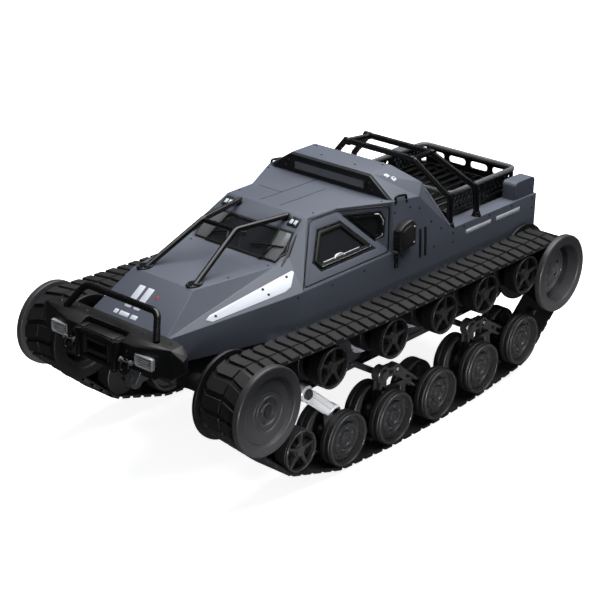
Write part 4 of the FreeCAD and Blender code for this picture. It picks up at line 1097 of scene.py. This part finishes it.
def intakes():
    """The housings behind the doors: a bevelled box whose front is a black block, painted shade, crossed by
    four bars, with a bright strip under it as a painted highlight.
    """
    shape = Shape()
    outline = [(29.5, 160.5), (53.0, 163.0), (53.0, 183.5), (46.5, 188.5), (36.0, 186.5), (29.5, 182.0)]
    shape.plate([softened(outline, 0.8)], 12.0, from_side(78.0), 0, 0.6)
    shape.plate([softened(inset(outline, 4.0), 1.0)], 1.4, from_side(84.1), 0, 0.4)
    # Painted shade: a black block stands for the shaded front face of the housing.
    shape.block((73.5, 28.2, 162.5), (82.6, 31.0, 181.5), 1, 0.4)
    # Painted highlight: a bright steel strip along the bottom of the front.
    shape.block((74.2, 27.6, 160.6), (82.2, 30.0, 162.4), 2, 0.4)
    for z in (166.0, 169.5, 173.0, 176.5):
        shape.block((74.0, 27.8, z - 0.4), (82.2, 30.5, z + 0.4), 0, 0.2)
    for y, z in ((50.0, 166.0), (50.0, 181.0)):
        shape.bolt((84.0, y, z), X_AXIS, 1.1, 0.8, 2)
    on_both_sides("intake_{}_housing", shape, [WHEEL, TRIM, STEEL], ["side_intakes"])


def roof_loops():
    """Small grab loops at the brow's corners."""
    shape = Shape()
    shape.tube([(74.6, 31.0, 206.0), (75.0, 32.0, 212.6), (75.0, 47.0, 210.6), (74.6, 48.0, 203.0)], 1.2, 2.5,
               count=12)
    for y, z in ((31.2, 207.6), (47.6, 205.0)):
        shape.lathe([(-1.0, 2.2), (0.8, 2.2), (1.3, 1.7)], (74.7, y, z), Vector((0.3, 0, 1)), count=16)
    on_both_sides("roof_loop_{}", shape, [TUBE])


brow_lamp()
intakes()
roof_loops()


# ---- front end


def bumper():
    """The faceted bumper with its lamp pockets, ribs and bolts."""
    shape = rounded_copy("front_bumper", 0.7, 9, 3.0)
    for sign in (1, -1):
        rib = softened(rectangle(sign * 62, 131.5, sign * 72, 146.5), 1)
        swept = Matrix.Rotation(math.radians(sign * 10), 4, "Y")
        shape.plate([rib], 1.6, upright(0, -255.4, 0) @ swept, 0, 0.4)
        for x, y in ((34.0, -244.0), (66.0, -243.5), (48.0, -241.0)):
            shape.bolt((sign * x, y, 154.8), Z_AXIS, 1.6, 1.0, 1)
        shape.bolt((sign * 32.0, -261.0, 144.0), -Y_AXIS, 1.3, 0.9, 1)
    piece("front_bumper_facets", shape, [TRIM, WHEEL], ["front_bumper"])


def fairlead():
    """An open frame with upright and level rollers around the rope slot."""
    shape = Shape()
    for sign in (1, -1):
        shape.block((sign * 21 - 3.4, -266, 125.4), (sign * 21 + 3.4, -250.5, 150.4), 0, 1.2)
        post = [(124.6, 1.5), (124.6, 3.0), (126.2, 3.2), (126.6, 2.6), (149.4, 2.6), (149.8, 3.2),
                (151.4, 3.0), (151.4, 1.5)]
        shape.lathe(post, (sign * 21.2, -265.6, 0), Z_AXIS, 1, count=24, edge=0.3)
        drum = [(129.8, 1.0), (130.0, 2.6), (146.4, 2.6), (146.6, 1.0)]
        shape.lathe(drum, (sign * 14.6, -263.6, 0), Z_AXIS, 2, count=24, edge=0.3)
    for z in (149.0, 127.4):
        bar = [(-23.6, 1.2), (-23.4, 2.2), (23.4, 2.2), (23.6, 1.2)]
        shape.lathe(bar, (0, -264.8, z), X_AXIS, 1, count=24, edge=0.3)
    for z in (132.8, 143.8):
        bar = [(-11.4, 1.0), (-11.2, 2.2), (11.2, 2.2), (11.4, 1.0)]
        shape.lathe(bar, (0, -263.4, z), X_AXIS, 2, count=24, edge=0.3)
    shape.block((-18.6, -262, 146.8), (18.6, -250.5, 150.6), 0, 0.7)
    shape.block((-18.6, -262, 125.2), (18.6, -250.5, 129.4), 0, 0.7)
    shape.block((-18.6, -256.2, 129.0), (18.6, -250.5, 147.4), 0, 0.5)
    for index in range(6):
        shape.block((-17.6, -256.8, 131.4 + 2.6 * index), (17.6, -255.8, 132.4 + 2.6 * index), 2, 0.25)
    for x in (-21, 21):
        shape.block((x - 2.6, -262.5, 150.2), (x + 2.6, -254.0, 151.5), 0, 0.4)
    piece("winch_rollers", shape, [TRIM, TUBE, WHEEL], ["winch_fairlead"])


def headlamps():
    """Bright stepped bezels around a bar reflector."""
    shape = Shape()
    middle_x, middle_z = 50.2, 139.5
    place = upright(middle_x, -258.9, middle_z)

    def rounded_box(half_width, half_height):
        return softened(rectangle(-half_width, -half_height, half_width, half_height), 1.2)

    shape.plate([rounded_box(10.0, 5.5), rounded_box(8.4, 3.9)], 4.2, place, 0, 0.5)
    shape.plate([rounded_box(8.6, 4.1)], 0.8, place @ Matrix.Translation((0, 0, -0.6)), 0, 0.2)
    shape.plate([rounded_box(6.6, 2.5), rounded_box(5.4, 1.4)], 1.2,
                place @ Matrix.Translation((0, 0, 0.2)), 1, 0.3)
    for z in (middle_z - 1.9, middle_z, middle_z + 1.9):
        shape.block((middle_x - 6.4, -260.6, z - 0.4), (middle_x + 6.4, -259.3, z + 0.4), 0, 0.2)
    for x, z in rectangle(-8.8, -4.4, 8.8, 4.4):
        shape.bolt((middle_x + x, -261.0, middle_z + z), -Y_AXIS, 0.6, 0.4, 1)
    on_both_sides("headlamp_{}", shape, [CHROME, TRIM], ["headlamp_bezels"])


def shackles():
    """Two forged bows with a threaded pin across each."""
    shape = Shape()
    for middle in (33.5, -33.5):
        path = [(middle - 4.0, -263.0, 137.0), (middle - 4.6, -266.0, 132.0), (middle - 3.0, -266.8, 127.8),
                (middle + 3.0, -266.8, 127.8), (middle + 4.6, -266.0, 132.0), (middle + 4.0, -263.0, 137.0)]
        shape.tube(path, 1.9, 2.4, 0, count=16, steps=4)
        pin = [(-7.2, 1.3), (-6.9, 2.5), (-4.6, 2.5), (-4.4, 1.3), (4.4, 1.3), (4.6, 2.3), (6.9, 2.3),
               (7.2, 1.2)]
        shape.lathe(pin, (middle, -263.6, 136.6), X_AXIS, 1, count=24, edge=0.3)
        shape.block((middle - 2.6, -264.6, 133.4), (middle + 2.6, -260.6, 139.2), 0, 0.8)
    piece("tow_shackle_bows", shape, [TUBE, STEEL], ["tow_shackles"])


bumper()
fairlead()
headlamps()
shackles()


# ---- cargo rack and cage fittings


def cargo_rack():
    """The basket: a bent rail, diamond-meshed sides, a slotted rear panel and a slatted floor."""
    shape = Shape()
    half, front, rear, rail_z, floor_z = 57.0, 139.0, 250.0, 183.0, 163.0
    corners = [(half, front, rail_z), (half, rear, rail_z), (-half, rear, rail_z), (-half, front, rail_z)]
    shape.tube(corners, 2.6, 9, 1, closed=True, count=18)
    shape.tube([(x, y, floor_z + 0.6) for x, y, _ in corners], 1.8, 6, 0, closed=True, count=12)
    for x, y in ((half, front + 5), (half, (front + rear) / 2), (half, rear - 6)):
        for sign in (1, -1):
            shape.tube([(sign * x, y, floor_z), (sign * x, y, rail_z)], 2.0, 1, 0, count=12)
    rim = rectangle(front + 5, floor_z + 1, rear - 5, rail_z - 1.5)
    holes = []
    for row, z in enumerate((167.4, 171.9, 176.4)):
        y = front + 11 + (3.2 if row % 2 else 0)
        while y < rear - 10:
            if abs(y - (front + rear) / 2) > 4.5:
                holes.append([(y - 2.5, z), (y, z - 2.7), (y + 2.5, z), (y, z + 2.7)])
            y += 6.4
    for sign in (1, -1):
        shape.plate([rim] + holes, 1.5, from_side(sign * half), 0, 0.25)
    slots = []
    for x in (-40.5, -13.5, 13.5, 40.5):
        slot = rectangle(x - 10.5, floor_z + 8, x + 10.5, rail_z - 5)
        slots.append(softened(slot, 4, steps=4))
    back = rectangle(-half + 4, floor_z, half - 4, rail_z)
    shape.plate([back] + slots, 1.8, upright(0, rear, 0), 0, 0.3)
    for index in range(9):
        x = -48 + 12 * index
        shape.block((x - 2.6, front + 1, floor_z), (x + 2.6, rear - 1, floor_z + 1.6), 0, 0.5)
    for y in (front + 1, (front + rear) / 2, rear - 1):
        shape.block((-half + 1, y - 2, floor_z - 1.6), (half - 1, y + 2, floor_z + 0.3), 0, 0.4)
    for sign in (1, -1):
        for y in (front + 8, rear - 8):
            shape.block((sign * 50 - 3, y - 3, 149), (sign * 50 + 3, y + 3, floor_z + 0.3), 0, 0.5)
            shape.bolt((sign * 50, y, floor_z + 0.2), Z_AXIS, 1.6, 0.9, 2)
    piece("cargo_basket", shape, [TUBE, RAIL, STEEL], ["cargo_rack"])


def cage_fittings():
    """Flanged feet and screws of the roll cage and the hood guard."""
    shape = Shape()
    foot = [(160.2, 2.6), (160.2, 4.6), (161.6, 4.8), (162.6, 3.9), (164.6, 3.6), (165.0, 3.1)]
    collar = [(-3.6, 3.0), (-3.4, 3.7), (3.4, 3.7), (3.6, 3.0)]
    cup = [(-0.6, 2.0), (-0.6, 4.4), (0.7, 4.4), (1.1, 3.8), (1.1, 2.0)]
    plate = [(x * 0.8, y * 1.15) for x, y in ring_outline(7.6, 32)]
    for sign in (1, -1):
        for y in (117.0, 160.0):
            shape.lathe(foot, (sign * 75.5, y, 0), Z_AXIS, 0, count=28, edge=0.3)
        for y, z in ((101.0, 223.4), (132.0, 222.4)):
            shape.lathe(collar, (sign * 39.0, y, z), X_AXIS, 0, count=24, edge=0.3)
        point, normal = from_above(sign * 29.4, -180)
        shape.plate([plate], 1.6, facing(normal, point + normal * 0.5), 0, 0.5)
        for turn in (0.9, 2.2, 4.0, 5.4):
            point, up = from_above(sign * 29.4 + 4.6 * math.cos(turn), -180 + 6.6 * math.sin(turn))
            shape.bolt(point + up * 1.2, up, 0.8, 0.6, 1)
        point, normal = from_above(sign * 28.6, -63.0)
        shape.lathe(cup, point, normal, 0, count=28, edge=0.2)
    piece("tube_fittings", shape, [TUBE, STEEL])


cargo_rack()
cage_fittings()


# ---- hull side


def hull_side():
    """Bosses with screws, bracket rings and ribs on the hull's flank."""
    shape = Shape()
    boss = [(77.0, 10.2), (78.6, 10.2), (79.2, 9.4), (82.2, 8.8), (85.4, 6.4), (85.9, 5.6), (85.9, 3.0),
            (84.4, 2.6), (84.4, 0.6)]
    ring = [(77.2, 2.2), (77.2, 5.0), (84.6, 5.0), (85.2, 4.4), (85.2, 2.2)]
    for y in (-97.0, -18.0, 60.0, 128.0):
        # The bosses take the lightened boss finish, painted light for the shade under the track.
        shape.lathe(boss, (0, y, 86.5), coat=0, count=36, edge=0.4)
        for dy, dz in around(4, 9.9, 0.4):
            shape.bolt((79.0, y + dy, 86.5 + dz), X_AXIS, 0.9, 0.7, 2)
    for y, z in ((-64.0, 105.0), (5.0, 104.0), (84.0, 103.0), (146.0, 104.0)):
        shape.lathe(ring, (0, y, z), loop=True, coat=1, count=28, edge=0.3)
        shape.block((77.0, y - 3.2, z - 13), (80.2, y + 3.2, z - 4), 1, 0.7)
    for y in (-80, -46, -4, 34, 76, 112, 160):
        shape.block((77.2, y - 1.2, 66), (79.6, y + 1.2, 96), 1, 0.5)
    shape.block((77.0, -100, 112.0), (80.4, 238, 115.5), 1, 0.8)
    shape.block((77.0, -100, 66.5), (79.6, 200, 69.0), 1, 0.6)
    on_both_sides("hull_flank_{}", shape, [BOSS_PAINTED_LIGHT, HULL, STEEL])


hull_side()


# ---- stage, light and camera


def glowing(name, strength):
    """A pale matt finish with its own light, for the surroundings."""
    pale = finish(name, (0.9, 0.9, 0.9, 1), 0.85, mottle=0.01, patch=1.5, grain=0.05, grain_size=4)
    shader = pale.node_tree.nodes["Principled BSDF"]
    shader.inputs["Emission Color"].default_value = (1.0, 1.0, 1.0, 1.0)
    shader.inputs["Emission Strength"].default_value = strength
    return pale


def stage():
    """A wide pale floor and a round pale wall far away, which don't light the vehicle."""
    reach, height = 14.0, 12.0
    floor = [(-reach, -reach, 0), (reach, -reach, 0), (reach, reach, 0), (-reach, reach, 0)]
    rim = ring_outline(reach * 0.97, 96)
    wall = [(x, y, -0.01) for x, y in rim] + [(x, y, height) for x, y in rim]
    panels = [(k, (k + 1) % 96, 96 + (k + 1) % 96, 96 + k) for k in range(96)]
    for name, corners, faces, strength in (("floor", floor, [(0, 1, 2, 3)], 0.88),
                                           ("backdrop", wall, panels, 1.0)):
        mesh = bpy.data.meshes.new(name)
        mesh.from_pydata(corners, [], faces)
        mesh.materials.append(glowing(f"pale_{name}", strength))
        made = bpy.data.objects.new(name, mesh)
        scene.collection.objects.link(made)
        made.visible_diffuse = False
        made.visible_glossy = False
        made.visible_shadow = name == "floor"


def softbox(name, position, target, size, power, spread=180):
    """A rectangular lamp aimed at a point; spread is in degrees."""
    light = bpy.data.lights.new(name, "AREA")
    light.shape = "RECTANGLE"
    light.size, light.size_y = size
    light.energy = power
    light.spread = math.radians(spread)
    lamp = bpy.data.objects.new(name, light)
    lamp.location = position
    lamp.rotation_euler = (Vector(target) - Vector(position)).to_track_quat("-Z", "Y").to_euler()
    scene.collection.objects.link(lamp)


def lights():
    """A faint sky, a broad overhead light, a front fill and a narrow low light on the left wheels."""
    world = bpy.data.worlds.new("studio")
    scene.world = world
    world.use_nodes = True
    back = world.node_tree.nodes["Background"]
    back.inputs["Color"].default_value = (0.9, 0.95, 1.0, 1)
    back.inputs["Strength"].default_value = 0.06
    softbox("overhead", (0.1, 0.35, 1.5), (0, 0.05, 0.1), (1.6, 1.6), 40)
    softbox("front_fill", (0.9, -1.6, 1.2), (0, 0, 0.1), (1.0, 1.0), 3)
    softbox("low_side", (1.4, -0.7, 0.055), (0.1, 0, 0.047), (1.7, 0.09), 0.7, 5)


CAMERA_TARGET = Vector((47.69, -65.52, 133.55))
CAMERA_DISTANCE = 1503.3
CAMERA_AZIMUTH, CAMERA_ELEVATION, CAMERA_ROLL = 0.7080, 0.4016, 0.0213
LENS_MM, SENSOR_MM = 101.87, 36.0


def camera():
    """A camera that looks down at the vehicle's front left."""
    back = Vector((
        math.sin(CAMERA_AZIMUTH) * math.cos(CAMERA_ELEVATION),
        -math.cos(CAMERA_AZIMUTH) * math.cos(CAMERA_ELEVATION),
        math.sin(CAMERA_ELEVATION),
    ))
    right = Vector((math.cos(CAMERA_AZIMUTH), math.sin(CAMERA_AZIMUTH), 0))
    turn = Matrix((right, back.cross(right), back)).transposed().to_4x4()
    turn = turn @ Matrix.Rotation(CAMERA_ROLL, 4, "Z")
    data = bpy.data.cameras.new("photo_angle")
    data.lens, data.sensor_width = LENS_MM, SENSOR_MM
    data.clip_start, data.clip_end = 0.05, 50
    viewer = bpy.data.objects.new("photo_angle", data)
    viewer.matrix_world = Matrix.Translation((CAMERA_TARGET + back * CAMERA_DISTANCE) * MM) @ turn
    scene.collection.objects.link(viewer)
    scene.camera = viewer


stage()
lights()
camera()
